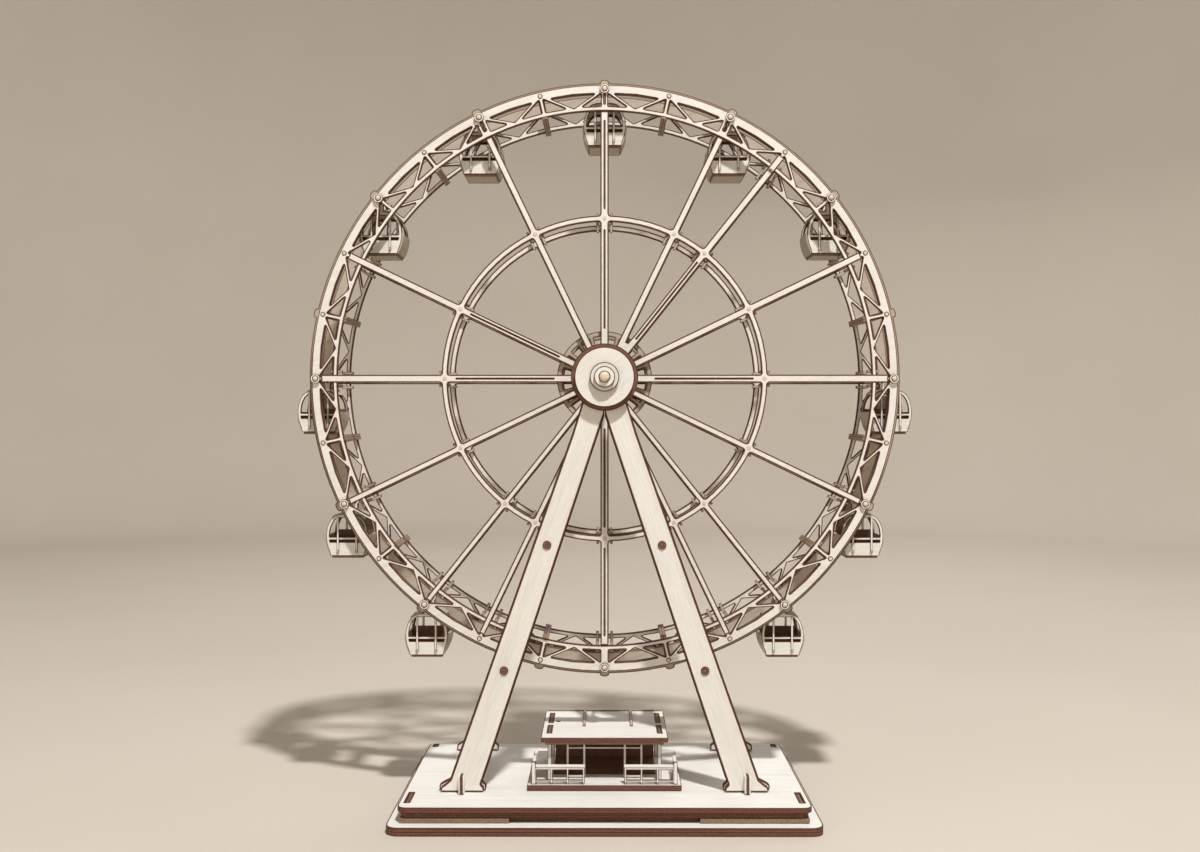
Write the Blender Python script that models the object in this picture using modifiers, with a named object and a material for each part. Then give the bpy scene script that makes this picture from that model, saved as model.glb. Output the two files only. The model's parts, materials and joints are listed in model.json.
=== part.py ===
# Desk-top ferris wheel cut from thin birch plywood: a base of stacked plates, two A-frames, an axle,
# a wheel of two trussed rims with spokes, hanging cabins and a small boarding station.
# X is the wheel's width, Y its depth (front is -Y), Z is up. The origin is the middle of the base's underside.

import math

import bmesh
import bpy
from mathutils import Matrix, Vector

MM = 0.001

# Stock and joints between touching pieces
PLY = 3.0 * MM
THIN_PLY = 2.6 * MM
SEAM = 0.3 * MM

# Base: four layers, seen as steps from the front
BOTTOM_PLATE = (235.2 * MM, 150.0 * MM, 4.6 * MM)
SPACER_THICKNESS = 2.6 * MM
SPACER_SIDE_LENGTH = 59.0 * MM
SPACER_DEPTH = 132.0 * MM
SPACER_MIDDLE_DEPTH = 128.0 * MM
UNDER_PLATE = (221.0 * MM, 135.0 * MM, 2.6 * MM)
TOP_PLATE = (224.0 * MM, 138.0 * MM, 2.9 * MM)
CORNER_RADIUS = 6.0 * MM
KEY_SLOT = (8.0 * MM, 2.6 * MM)
KEY_SLOT_FRONT = (104.5 * MM, -58.0 * MM)
KEY_SLOT_BACK = (104.5 * MM, 62.0 * MM)

BASE_TOP = BOTTOM_PLATE[2] + SPACER_THICKNESS + UNDER_PLATE[2] + TOP_PLATE[2] + 3 * SEAM

# Wheel: it stands a little behind the middle of the base, as the boarding side needs the room
WHEEL_Y = 7.6 * MM
HUB_HEIGHT = 232.0 * MM
HUB_Z = BASE_TOP + HUB_HEIGHT
BAYS = 28
BAY_ANGLE = 2 * math.pi / BAYS
RIM_OUTER = 169.7 * MM
RIM_CHORD = 4.9 * MM
INNER_CHORD_OUTER = 157.6 * MM
INNER_CHORD = 3.0 * MM
STRUT_WIDTH = 2.4 * MM
WEB_WIDTH = 2.1 * MM
BAND_OUTER = 171.0 * MM
BAND_INNER = 164.8 * MM
TAB_OUTER = 173.2 * MM
TAB_HALF = 2.8 * MM
TAB_CORNER = 0.9 * MM
PIVOT_RADIUS = 167.1 * MM
PIVOT_HOLE = 1.4 * MM
PLATE_FACE = 21.0 * MM

# Spokes, counted in bays clockwise from the top as seen from the front
SPOKE_BAYS = (0, 2, 3, 5, 7, 9, 11, 12, 14, 16, 17, 19, 21, 23, 26)
SLOTTED_BAYS = (0, 3, 7, 14, 21, 23)
SPOKE_WIDTH = 4.7 * MM
SPOKE_SLOT = 1.3 * MM
SPOKE_SLOT_START = 29.0 * MM
SPOKE_SLOT_STOP = 86.0 * MM
SPOKE_SLOT_RESTART = 98.0 * MM
SPOKE_SLOT_END = 149.0 * MM
SPOKE_TIP = INNER_CHORD_OUTER - INNER_CHORD - SEAM
MID_RING_OUTER = 94.2 * MM
MID_RING_INNER = 90.8 * MM
SPOKE_HUB = 18.0 * MM

# Cross ties between the two rims, and the nodes where the bands have a tab on their outer edge
TIE_BAYS = (1, 3, 6, 8, 10, 13, 15, 18, 20, 22, 25, 27)
TAB_BAYS = (0, 2, 4, 6, 9, 11, 13, 14, 15, 17, 19, 22, 24, 26)
TIE_INNER = 152.8 * MM
TIE_OUTER = BAND_INNER - SEAM

# Hub and axle
AXLE_RADIUS = 2.8 * MM
BORE_RADIUS = 3.3 * MM
SLEEVE_RADIUS = 5.0 * MM
SLEEVE_HOLE = 5.5 * MM
SPOOL_RADIUS = 10.0 * MM
FLANGE_RADIUS = 27.6 * MM

# A-frames
LEG_INNER_FACE = 42.0 * MM
LEG_THICKNESS = 6.0 * MM
FOOT_X = 79.5 * MM
LEG_TOP_HALF = 6.0 * MM
LEG_FOOT_HALF = 8.4 * MM
LEG_HEAD = 9.0 * MM
TOE_HALF = 13.1 * MM
TOE_HEIGHT = 5.0 * MM
FLARE_HEIGHT = 13.0 * MM
BRACE = (2.8 * MM, 17.0 * MM, 10.4 * MM)

# Hub discs and washers outside the legs
DISC_BACK = (18.7 * MM, 2.7 * MM)
DISC_FRONT = (16.7 * MM, 2.7 * MM)
WASHERS = ((8.1 * MM, 2.2 * MM), (5.8 * MM, 2.0 * MM))
AXLE_END = 2.4 * MM

# Cabins hang at these bays; the photograph shows none at the bottom one
CABIN_BAYS = (0, 2, 4, 7, 9, 11, 17, 19, 21, 24, 26)
EMPTY_PIVOT_BAY = 14
ROD_RADIUS = 1.0 * MM
CAP_RADIUS = 2.9 * MM
CAP_THICKNESS = 1.3 * MM
ROD_STICKS_OUT = 2.4 * MM
CABIN_HALF_DEPTH = 13.0 * MM
CABIN_WALL = 2.0 * MM
CABIN_TOP = -6.0 * MM
CABIN_BOTTOM = -31.0 * MM
FLOOR_DROP = 1.2 * MM
FLOOR_HALF = 8.6 * MM
HANGER_HALF = 1.6 * MM
EYE_RADIUS = 2.7 * MM
WINDOW_SILL = -20.3 * MM
SIDE_WINDOW_HEAD = -9.6 * MM
# Right half of a cabin's front plate, from the crown down to the floor corner
CABIN_SIDE = (
    (4.6 * MM, -6.0 * MM),
    (8.0 * MM, -7.2 * MM),
    (10.7 * MM, -10.2 * MM),
    (12.4 * MM, -14.4 * MM),
    (13.0 * MM, -19.2 * MM),
    (12.6 * MM, -23.6 * MM),
    (11.5 * MM, -27.4 * MM),
    (9.9 * MM, -31.0 * MM),
)

# Boarding station, placed under the wheel
PLATFORM = (86.6 * MM, 75.0 * MM, PLY)
PLATFORM_FRONT = -38.0 * MM
ROOF = (71.8 * MM, 67.0 * MM, 2.6 * MM)
ROOF_FRONT = -34.0 * MM
ROOF_TOP = 29.0 * MM
ROOF_UNDER = (67.0 * MM, 62.0 * MM, 1.6 * MM)
ROOF_SLOT = (1.4 * MM, 44.0 * MM)
ROOF_SLOT_X = 31.0 * MM
POST = 2.2 * MM
POST_X = 31.2 * MM
POST_FRONT = -27.5 * MM
POST_BACK = 25.0 * MM
FRONT_FRAME_Y = -22.0 * MM
FRAME_HALF = 21.9 * MM
DOOR_HALF = 10.8 * MM
FRAME_BAR = 1.6 * MM
BACK_WALL_Y = 22.0 * MM
BACK_WALL_HALF = 29.6 * MM
RAIL_TOP = 10.6 * MM
RAIL_BAR = 1.2 * MM
RAIL_OUTER_X = 41.0 * MM
RAIL_INNER_X = 11.2 * MM
RAIL_THICK = 1.6 * MM
RAIL_SIDE_LENGTH = 21.4 * MM

ARC_STEPS = 16
PALE_BIRCH = (0.84, 0.72, 0.55)
WARM_BIRCH = (0.74, 0.58, 0.40)
DARK_BIRCH = (0.36, 0.22, 0.13)
DOWEL = (0.62, 0.42, 0.24)

for leftover in list(bpy.data.objects):
    bpy.data.objects.remove(leftover, do_unlink=True)

PARTS = bpy.data.collections.new("ferris_wheel")
CUTTERS = bpy.data.collections.new("cutters")
bpy.context.scene.collection.children.link(PARTS)
bpy.context.scene.collection.children.link(CUTTERS)
CUTTERS.hide_render = True


def birch(name, color, roughness=0.62):
    """A plain wood material."""
    made = bpy.data.materials.new(name)
    made.use_nodes = True
    shader = made.node_tree.nodes["Principled BSDF"]
    shader.inputs["Base Color"].default_value = (*color, 1.0)
    shader.inputs["Roughness"].default_value = roughness
    shader.inputs["Metallic"].default_value = 0.0
    return made


PALE = birch("pale_birch", PALE_BIRCH)
WARM = birch("warm_birch", WARM_BIRCH)
DARK = birch("dark_birch", DARK_BIRCH)
PIN = birch("dowel", DOWEL, 0.45)


def add_object(name, mesh, material, collection=PARTS):
    """Links a mesh as an object with one material."""
    obj = bpy.data.objects.new(name, mesh)
    mesh.materials.clear()
    mesh.materials.append(material)
    collection.objects.link(obj)
    return obj


def frozen(obj):
    """The object's evaluated mesh with its loose caps welded; the object itself is removed."""
    bpy.context.view_layer.update()
    graph = bpy.context.evaluated_depsgraph_get()
    mesh = bpy.data.meshes.new_from_object(obj.evaluated_get(graph))
    mesh.transform(obj.matrix_world)
    name = obj.name
    bpy.data.objects.remove(obj, do_unlink=True)
    shape = bmesh.new()
    shape.from_mesh(mesh)
    bmesh.ops.remove_doubles(shape, verts=shape.verts, dist=0.000001)
    bmesh.ops.recalc_face_normals(shape, faces=shape.faces)
    shape.to_mesh(mesh)
    shape.free()
    mesh.name = name
    return mesh


def plate_mesh(name, outlines, thickness):
    """A flat plate in local XY, centred on Z; every outline after the first is an opening."""
    curve = bpy.data.curves.new(name, "CURVE")
    curve.dimensions = "2D"
    curve.fill_mode = "BOTH"
    curve.extrude = thickness / 2
    for outline in outlines:
        spline = curve.splines.new("POLY")
        spline.points.add(len(outline) - 1)
        for point, (x, y) in zip(spline.points, outline):
            point.co = (x, y, 0, 1)
        spline.use_cyclic_u = True
    obj = bpy.data.objects.new(name, curve)
    CUTTERS.objects.link(obj)
    return frozen(obj)


# A plate drawn in XY stands up facing the front: its Y becomes Z, and its thickness runs along world Y
UPRIGHT = Matrix.Rotation(math.radians(90), 4, "X")


def upright_mesh(name, outlines, thickness):
    mesh = plate_mesh(name, outlines, thickness)
    mesh.transform(UPRIGHT)
    return mesh


def box_mesh(name, size, centre=(0, 0, 0)):
    shape = bmesh.new()
    bmesh.ops.create_cube(shape, size=1.0)
    bmesh.ops.scale(shape, vec=Vector(size), verts=shape.verts)
    bmesh.ops.translate(shape, vec=Vector(centre), verts=shape.verts)
    mesh = bpy.data.meshes.new(name)
    shape.to_mesh(mesh)
    shape.free()
    return mesh


def rod_mesh(name, radius, length, sides, middle=0.0):
    """A round bar along Y."""
    shape = bmesh.new()
    bmesh.ops.create_cone(
        shape, cap_ends=True, segments=sides, radius1=radius, radius2=radius, depth=length
    )
    bmesh.ops.rotate(shape, matrix=Matrix.Rotation(math.radians(90), 3, "X"), verts=shape.verts)
    bmesh.ops.translate(shape, vec=(0, middle, 0), verts=shape.verts)
    mesh = bpy.data.meshes.new(name)
    shape.to_mesh(mesh)
    shape.free()
    return mesh


def turned_mesh(name, profile, steps, closed):
    """A profile of (radius, along) pairs, run down its outer side, turned about Y; closed joins its ends."""
    mesh = bpy.data.meshes.new(name)
    points = [(radius, 0, along) for radius, along in profile]
    edges = [(i, i + 1) for i in range(len(points) - 1)]
    if closed:
        edges.append((len(points) - 1, 0))
    mesh.from_pydata(points, edges, [])
    obj = bpy.data.objects.new(name, mesh)
    CUTTERS.objects.link(obj)
    screw = obj.modifiers.new("turn", "SCREW")
    screw.steps = steps
    screw.render_steps = steps
    screw.use_merge_vertices = True
    screw.merge_threshold = 0.00001
    mesh = frozen(obj)
    mesh.transform(UPRIGHT)
    return mesh


def combined(name, mesh, others, operation):
    """A mesh joined with, or cut by, the other meshes."""
    obj = bpy.data.objects.new(name, mesh)
    CUTTERS.objects.link(obj)
    helpers = []
    for index, other in enumerate(others):
        helper = bpy.data.objects.new(f"{name}_tool_{index}", other)
        CUTTERS.objects.link(helper)
        helpers.append(helper)
        modifier = obj.modifiers.new(f"step_{index}", "BOOLEAN")
        modifier.operation = operation
        modifier.solver = "EXACT"
        modifier.object = helper
    result = frozen(obj)
    for helper in helpers:
        bpy.data.objects.remove(helper, do_unlink=True)
    return result


def arc(radius, start, stop, steps, centre=(0.0, 0.0)):
    """Points of an arc; angles are clockwise from straight up, as on a clock face."""
    return [
        (
            centre[0] + radius * math.sin(start + (stop - start) * i / steps),
            centre[1] + radius * math.cos(start + (stop - start) * i / steps),
        )
        for i in range(steps + 1)
    ]


def circle(radius, steps, centre=(0.0, 0.0)):
    return arc(radius, 0, 2 * math.pi, steps, centre)[:-1]


def polar(radius, angle):
    return (radius * math.sin(angle), radius * math.cos(angle))


def rectangle(half_x, half_y, centre=(0.0, 0.0)):
    x, y = centre
    return [
        (x - half_x, y - half_y),
        (x + half_x, y - half_y),
        (x + half_x, y + half_y),
        (x - half_x, y + half_y),
    ]


def rounded_rectangle(width, depth, radius, steps=4):
    corners = (
        (width / 2 - radius, depth / 2 - radius, 0),
        (width / 2 - radius, radius - depth / 2, 1),
        (radius - width / 2, radius - depth / 2, 2),
        (radius - width / 2, depth / 2 - radius, 3),
    )
    points = []
    for x, y, quarter in corners:
        start = quarter * math.pi / 2
        points += arc(radius, start, start + math.pi / 2, steps, (x, y))
    return points


def crossing(line_a, line_b):
    """Where two lines meet, each given by two points."""
    (x1, y1), (x2, y2) = line_a
    (x3, y3), (x4, y4) = line_b
    span = (x1 - x2) * (y3 - y4) - (y1 - y2) * (x3 - x4)
    a = x1 * y2 - y1 * x2
    b = x3 * y4 - y3 * x4
    return ((a * (x3 - x4) - (x1 - x2) * b) / span, (a * (y3 - y4) - (y1 - y2) * b) / span)


def shifted(line, distance):
    """A line moved to its own left by a distance."""
    (x1, y1), (x2, y2) = line
    length = math.hypot(x2 - x1, y2 - y1)
    nx = -(y2 - y1) / length * distance
    ny = (x2 - x1) / length * distance
    return ((x1 + nx, y1 + ny), (x2 + nx, y2 + ny))


def web_openings(bay):
    """The three openings between the struts, diagonals and chords of one bay of a rim."""
    start = bay * BAY_ANGLE
    middle = start + BAY_ANGLE / 2
    stop = start + BAY_ANGLE
    outer_edge = RIM_OUTER - RIM_CHORD
    node = RIM_OUTER - RIM_CHORD / 2
    foot = polar(INNER_CHORD_OUTER - INNER_CHORD / 2, middle)
    half_web = WEB_WIDTH / 2
    half_strut = STRUT_WIDTH / 2
    first = (polar(node, start), foot)
    second = (polar(node, stop), foot)
    strut_a = (polar(node, start), polar(0.1 * node, start))
    strut_b = (polar(node, stop), polar(0.1 * node, stop))
    chord_a = (polar(INNER_CHORD_OUTER, start), polar(INNER_CHORD_OUTER, middle))
    chord_b = (polar(INNER_CHORD_OUTER, middle), polar(INNER_CHORD_OUTER, stop))
    crown_a = (polar(outer_edge, start), polar(outer_edge, middle))
    crown_b = (polar(outer_edge, middle), polar(outer_edge, stop))
    upper_a = shifted(first, half_web)
    lower_a = shifted(first, -half_web)
    upper_b = shifted(second, -half_web)
    lower_b = shifted(second, half_web)
    side_a = shifted(strut_a, half_strut)
    side_b = shifted(strut_b, -half_strut)
    return [
        [crossing(side_a, lower_a), crossing(lower_a, chord_a), crossing(chord_a, side_a)],
        [
            crossing(crown_a, upper_a),
            polar(outer_edge, middle),
            crossing(crown_b, upper_b),
            crossing(upper_a, upper_b),
        ],
        [crossing(side_b, lower_b), crossing(lower_b, chord_b), crossing(chord_b, side_b)],
    ]


def pivot_holes():
    bays = CABIN_BAYS + (EMPTY_PIVOT_BAY,)
    return [circle(PIVOT_HOLE, 8, polar(PIVOT_RADIUS, bay * BAY_ANGLE)) for bay in bays]


def rim_outlines():
    """A rim's truss plate: outer edge, inner edge, web openings and pivot holes."""
    outlines = [
        circle(RIM_OUTER, 2 * BAYS),
        circle(INNER_CHORD_OUTER - INNER_CHORD, 2 * BAYS),
    ]
    for bay in range(BAYS):
        outlines += web_openings(bay)
    return outlines + pivot_holes()


def tab_points(angle):
    """The outline of a tab on the band's outer edge, clockwise."""
    root = TAB_HALF / BAND_OUTER
    crown = (TAB_HALF - TAB_CORNER) / BAND_OUTER
    return [
        polar(BAND_OUTER, angle - root),
        polar(TAB_OUTER - TAB_CORNER, angle - root),
        polar(TAB_OUTER, angle - crown),
        polar(TAB_OUTER, angle + crown),
        polar(TAB_OUTER - TAB_CORNER, angle + root),
        polar(BAND_OUTER, angle + root),
    ]


def band_outlines():
    """The band behind a rim: a ring with tabs and the pivot holes."""
    outer = []
    for bay in range(BAYS):
        angle = bay * BAY_ANGLE
        outer += tab_points(angle) if bay in TAB_BAYS else [polar(BAND_OUTER, angle)]
        outer.append(polar(BAND_OUTER, angle + BAY_ANGLE / 2))
    return [outer, circle(BAND_INNER, 2 * BAYS)] + pivot_holes()


def spoke_edge(radius):
    """How far to each side of a spoke's middle its edge lies at a radius, as an angle."""
    return math.asin(SPOKE_WIDTH / 2 / radius)


def spoke_slots(bay):
    """The narrow slots along a spoke, one each side of the middle ring."""
    angle = bay * BAY_ANGLE
    slots = []
    for start, stop in (
        (SPOKE_SLOT_START, SPOKE_SLOT_STOP),
        (SPOKE_SLOT_RESTART, SPOKE_SLOT_END),
    ):
        half = SPOKE_SLOT / 2
        slots.append(
            [
                (r * math.sin(angle) + s * math.cos(angle), r * math.cos(angle) - s * math.sin(angle))
                for r, s in ((start, -half), (stop, -half), (stop, half), (start, half))
            ]
        )
    return slots


def spoke_outlines():
    """The spokes, the ring that ties them half-way and the hub disc, as one sheet."""
    outer = []
    openings = []
    angles = [bay * BAY_ANGLE for bay in SPOKE_BAYS]
    for angle, following in zip(angles, angles[1:] + [angles[0] + 2 * math.pi]):
        steps = max(2, round((following - angle) / BAY_ANGLE * 2))
        tip = spoke_edge(SPOKE_TIP)
        ring_out = spoke_edge(MID_RING_OUTER)
        ring_in = spoke_edge(MID_RING_INNER)
        hub = spoke_edge(SPOKE_HUB)
        outer += [polar(SPOKE_TIP, angle - tip), polar(SPOKE_TIP, angle + tip)]
        outer += arc(MID_RING_OUTER, angle + ring_out, following - ring_out, steps)
        far_side = arc(MID_RING_INNER, following - ring_in, angle + ring_in, steps)
        half_way = (following - angle) / 2
        if hub < half_way:
            near_side = arc(SPOKE_HUB, angle + hub, following - hub, 1)
        else:
            near_side = [polar(SPOKE_WIDTH / 2 / math.sin(half_way), angle + half_way)]
        openings.append(near_side + far_side)
    for bay in SLOTTED_BAYS:
        openings += spoke_slots(bay)
    return [outer, circle(SLEEVE_HOLE, 16)] + openings


WHEEL_AXIS = bpy.data.objects.new("wheel_axis", None)
WHEEL_AXIS.location = (0, WHEEL_Y, HUB_Z)
PARTS.objects.link(WHEEL_AXIS)


def on_wheel(obj, location=(0, 0, 0)):
    obj.parent = WHEEL_AXIS
    obj.location = location
    return obj


def make_wheel():
    rim = upright_mesh("rim", rim_outlines(), PLY)
    band = upright_mesh("band", band_outlines(), PLY)
    spokes = upright_mesh("spokes", spoke_outlines(), PLY)
    plate_y = PLATE_FACE - PLY / 2
    band_y = PLATE_FACE - PLY - SEAM - PLY / 2
    for side, sign in (("front", -1), ("back", 1)):
        for name, mesh, y in (
            ("rim", rim, plate_y),
            ("rim_band", band, band_y),
            ("spokes", spokes, plate_y),
        ):
            on_wheel(add_object(f"{side}_{name}", mesh, PALE), (0, sign * y, 0))
    tie = box_mesh(
        "tie",
        (THIN_PLY, 2 * (PLATE_FACE - PLY - SEAM), TIE_OUTER - TIE_INNER),
        (0, 0, (TIE_OUTER + TIE_INNER) / 2),
    )
    for index, bay in enumerate(TIE_BAYS, 1):
        piece = on_wheel(add_object(f"rim_tie_{index:02d}", tie, WARM))
        piece.rotation_euler = (0, bay * BAY_ANGLE, 0)
    x, z = polar(PIVOT_RADIUS, EMPTY_PIVOT_BAY * BAY_ANGLE)
    on_wheel(add_object("bottom_pivot_rod", pivot_rod_mesh(), PIN), (x, 0, z))


def make_hub():
    inner = PLATE_FACE - PLY - SEAM
    end = LEG_INNER_FACE - 2 * SEAM
    profile = [
        (SLEEVE_RADIUS, end),
        (SLEEVE_RADIUS, inner),
        (FLANGE_RADIUS, inner),
        (FLANGE_RADIUS, inner - THIN_PLY),
        (SPOOL_RADIUS, inner - THIN_PLY),
    ]
    mirrored = [(radius, -along) for radius, along in reversed(profile)]
    bore = [(BORE_RADIUS, -end), (BORE_RADIUS, end)]
    mesh = turned_mesh("wheel_hub", profile + mirrored + bore, ARC_STEPS, True)
    on_wheel(add_object("wheel_hub", mesh, WARM))


def leg_outline():
    """The right leg, drawn with the axle at the drawing's origin: head, half the bore, leg, flared foot."""
    drop = HUB_HEIGHT
    lean = math.atan2(FOOT_X, drop - FLARE_HEIGHT)
    side = (math.cos(lean), math.sin(lean))
    middle = SEAM / 2
    ground = SEAM - drop
    flare = ground + FLARE_HEIGHT
    knee_x = FOOT_X * (drop - FLARE_HEIGHT) / drop
    head = arc(LEG_HEAD, math.asin(middle / LEG_HEAD), math.pi / 2 - lean, 4)
    outer = [
        (side[0] * LEG_TOP_HALF, side[1] * LEG_TOP_HALF),
        (knee_x + LEG_FOOT_HALF * side[0], flare),
    ]
    outer_flare = [
        (FOOT_X + TOE_HALF * 0.74, ground + TOE_HEIGHT * 1.25),
        (FOOT_X + TOE_HALF, ground + TOE_HEIGHT * 0.7),
        (FOOT_X + TOE_HALF, ground),
    ]
    inner_flare = [
        (FOOT_X - TOE_HALF, ground),
        (FOOT_X - TOE_HALF, ground + TOE_HEIGHT),
        (FOOT_X - TOE_HALF * 0.86, ground + TOE_HEIGHT * 1.5),
    ]
    inner = [
        (knee_x - LEG_FOOT_HALF / side[0], flare),
        (middle, -(LEG_TOP_HALF + middle * side[0]) / side[1]),
    ]
    bore_edge = math.asin(middle / BORE_RADIUS)
    bore = arc(BORE_RADIUS, math.pi - bore_edge, bore_edge, 8)
    return head[:-1] + outer + outer_flare + inner_flare + inner + bore


def make_legs():
    right = upright_mesh("leg_right", [leg_outline()], LEG_THICKNESS)
    brace = box_mesh(
        "brace", BRACE, (FOOT_X, 0, SEAM - HUB_HEIGHT + BRACE[2] / 2)
    )
    right = combined("leg_right", right, [brace], "UNION")
    left = right.copy()
    left.transform(Matrix.Scale(-1, 4, Vector((1, 0, 0))))
    left.flip_normals()
    y = LEG_INNER_FACE + LEG_THICKNESS / 2
    for side, sign in (("front", -1), ("back", 1)):
        for hand, mesh in (("left", left), ("right", right)):
            leg = add_object(f"{side}_leg_{hand}", mesh, PALE)
            leg.location = (0, WHEEL_Y + sign * y, HUB_Z)


def make_axle():
    face = LEG_INNER_FACE + LEG_THICKNESS + SEAM
    disc = [
        (DISC_FRONT[0], DISC_BACK[1] + DISC_FRONT[1]),
        (DISC_FRONT[0], DISC_BACK[1]),
        (DISC_BACK[0], DISC_BACK[1]),
        (DISC_BACK[0], 0.0),
        (BORE_RADIUS, 0.0),
        (BORE_RADIUS, DISC_BACK[1] + DISC_FRONT[1]),
    ]
    mesh = turned_mesh("hub_disc", disc, 24, True)
    mesh.transform(Matrix.Translation((0, -face, 0)))
    turned_back = mesh.copy()
    turned_back.transform(Matrix.Rotation(math.pi, 4, "Z"))
    for name, shape in (("front_hub_disc", mesh), ("back_hub_disc", turned_back)):
        piece = add_object(name, shape, PALE)
        piece.location = (0, WHEEL_Y, HUB_Z)
    seat = face + DISC_BACK[1] + DISC_FRONT[1] + SEAM
    first, second = WASHERS
    end = seat + first[1] + second[1] + AXLE_END
    half = [
        (0.0, end),
        (AXLE_RADIUS * 0.7, end - AXLE_END * 0.2),
        (AXLE_RADIUS, end - AXLE_END * 0.7),
        (AXLE_RADIUS, end - AXLE_END),
        (second[0], seat + first[1] + second[1]),
        (second[0], seat + first[1]),
        (first[0], seat + first[1]),
        (first[0], seat),
        (AXLE_RADIUS, seat),
    ]
    profile = half + [(radius, -along) for radius, along in reversed(half)]
    axle = add_object("axle", turned_mesh("axle", profile, ARC_STEPS, False), PIN)
    axle.location = (0, WHEEL_Y, HUB_Z)


def pivot_rod_mesh():
    """The pin that carries a cabin, with a round cap outside each rim."""
    reach = PLATE_FACE + ROD_STICKS_OUT
    cap_y = PLATE_FACE + SEAM + CAP_THICKNESS / 2
    rod = rod_mesh("pivot_rod", ROD_RADIUS, 2 * reach, 6)
    caps = [rod_mesh("cap", CAP_RADIUS, CAP_THICKNESS, 8, sign * cap_y) for sign in (-1, 1)]
    return combined("pivot_rod", rod, caps, "UNION")


def mirrored_outline(right_half):
    return list(right_half) + [(-x, y) for x, y in reversed(right_half)]


def inset_side(points, distance):
    """The cabin's side curve moved inwards."""
    moved = []
    for index, (x, y) in enumerate(points):
        before = points[max(index - 1, 0)]
        after = points[min(index + 1, len(points) - 1)]
        run = Vector((after[0] - before[0], after[1] - before[1])).normalized()
        moved.append((x + run.y * distance, y - run.x * distance))
    return moved


def cabin_mesh():
    """A cabin about its pivot: two shaped plates, a tub between them, a curved roof, hangers and the rod."""
    body = upright_mesh("cabin", [mirrored_outline(CABIN_SIDE)], 2 * CABIN_HALF_DEPTH)
    inside_curve = inset_side(CABIN_SIDE, CABIN_WALL)
    inside_depth = 2 * (CABIN_HALF_DEPTH - THIN_PLY)
    hollow = [point for point in inside_curve if point[1] > CABIN_BOTTOM + CABIN_WALL]
    floor_y = CABIN_BOTTOM + CABIN_WALL
    hollow.append((hollow[-1][0] - 1.0 * MM, floor_y))
    cavity = upright_mesh("cavity", [mirrored_outline(hollow)], inside_depth)
    panes = [point for point in inside_curve if point[1] > WINDOW_SILL]
    panes.append((panes[-1][0], WINDOW_SILL))
    window = upright_mesh("window", [mirrored_outline(panes)], 4 * CABIN_HALF_DEPTH)
    side_window = box_mesh(
        "side_window",
        (40 * MM, inside_depth, SIDE_WINDOW_HEAD - WINDOW_SILL),
        (0, 0, (SIDE_WINDOW_HEAD + WINDOW_SILL) / 2),
    )
    body = combined("cabin", body, [cavity, window, side_window], "DIFFERENCE")
    hangers = []
    for sign in (-1, 1):
        y = sign * (CABIN_HALF_DEPTH - THIN_PLY / 2)
        strip = box_mesh(
            "hanger",
            (2 * HANGER_HALF, THIN_PLY, -CABIN_TOP + 1.0 * MM),
            (0, y, (CABIN_TOP - 1.0 * MM) / 2),
        )
        hangers += [strip, rod_mesh("eye", EYE_RADIUS, THIN_PLY, 8, y)]
    floor = box_mesh(
        "floor",
        (2 * FLOOR_HALF, 2 * (CABIN_HALF_DEPTH - 1.2 * MM), 2 * FLOOR_DROP),
        (0, 0, CABIN_BOTTOM),
    )
    return combined("cabin", body, hangers + [floor, pivot_rod_mesh()], "UNION")


def make_cabins():
    mesh = cabin_mesh()
    for index, bay in enumerate(CABIN_BAYS, 1):
        x, z = polar(PIVOT_RADIUS, bay * BAY_ANGLE)
        on_wheel(add_object(f"cabin_{index:02d}", mesh, PALE), (x, 0, z))


def flat_plate(name, outlines, thickness, low, material):
    mesh = plate_mesh(name, outlines, thickness)
    mesh.transform(Matrix.Translation((0, 0, low + thickness / 2)))
    return add_object(name, mesh, material)


def make_base():
    width, depth, thickness = BOTTOM_PLATE
    flat_plate(
        "base_bottom_plate", [rounded_rectangle(width, depth, CORNER_RADIUS)], thickness, 0, PALE
    )
    low = thickness + SEAM
    spacer_x = UNDER_PLATE[0] / 2 - SPACER_SIDE_LENGTH / 2
    for name, sign in (("base_spacer_left", -1), ("base_spacer_right", 1)):
        add_object(
            name,
            box_mesh(
                name,
                (SPACER_SIDE_LENGTH, SPACER_DEPTH, SPACER_THICKNESS),
                (sign * spacer_x, 0, low + SPACER_THICKNESS / 2),
            ),
            PALE,
        )
    middle = 2 * (UNDER_PLATE[0] / 2 - SPACER_SIDE_LENGTH - SEAM)
    add_object(
        "base_spacer_middle",
        box_mesh(
            "base_spacer_middle",
            (middle, SPACER_MIDDLE_DEPTH, SPACER_THICKNESS),
            (0, 0, low + SPACER_THICKNESS / 2),
        ),
        DARK,
    )
    low += SPACER_THICKNESS + SEAM
    width, depth, thickness = UNDER_PLATE
    flat_plate(
        "base_under_plate", [rounded_rectangle(width, depth, CORNER_RADIUS)], thickness, low, WARM
    )
    low += thickness + SEAM
    width, depth, thickness = TOP_PLATE
    slots = [
        rectangle(KEY_SLOT[0] / 2, KEY_SLOT[1] / 2, (sign * x, y))
        for x, y in (KEY_SLOT_FRONT, KEY_SLOT_BACK)
        for sign in (-1, 1)
    ]
    outlines = [rounded_rectangle(width, depth, CORNER_RADIUS)] + slots
    flat_plate("base_top_plate", outlines, thickness, low, PALE)


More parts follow.
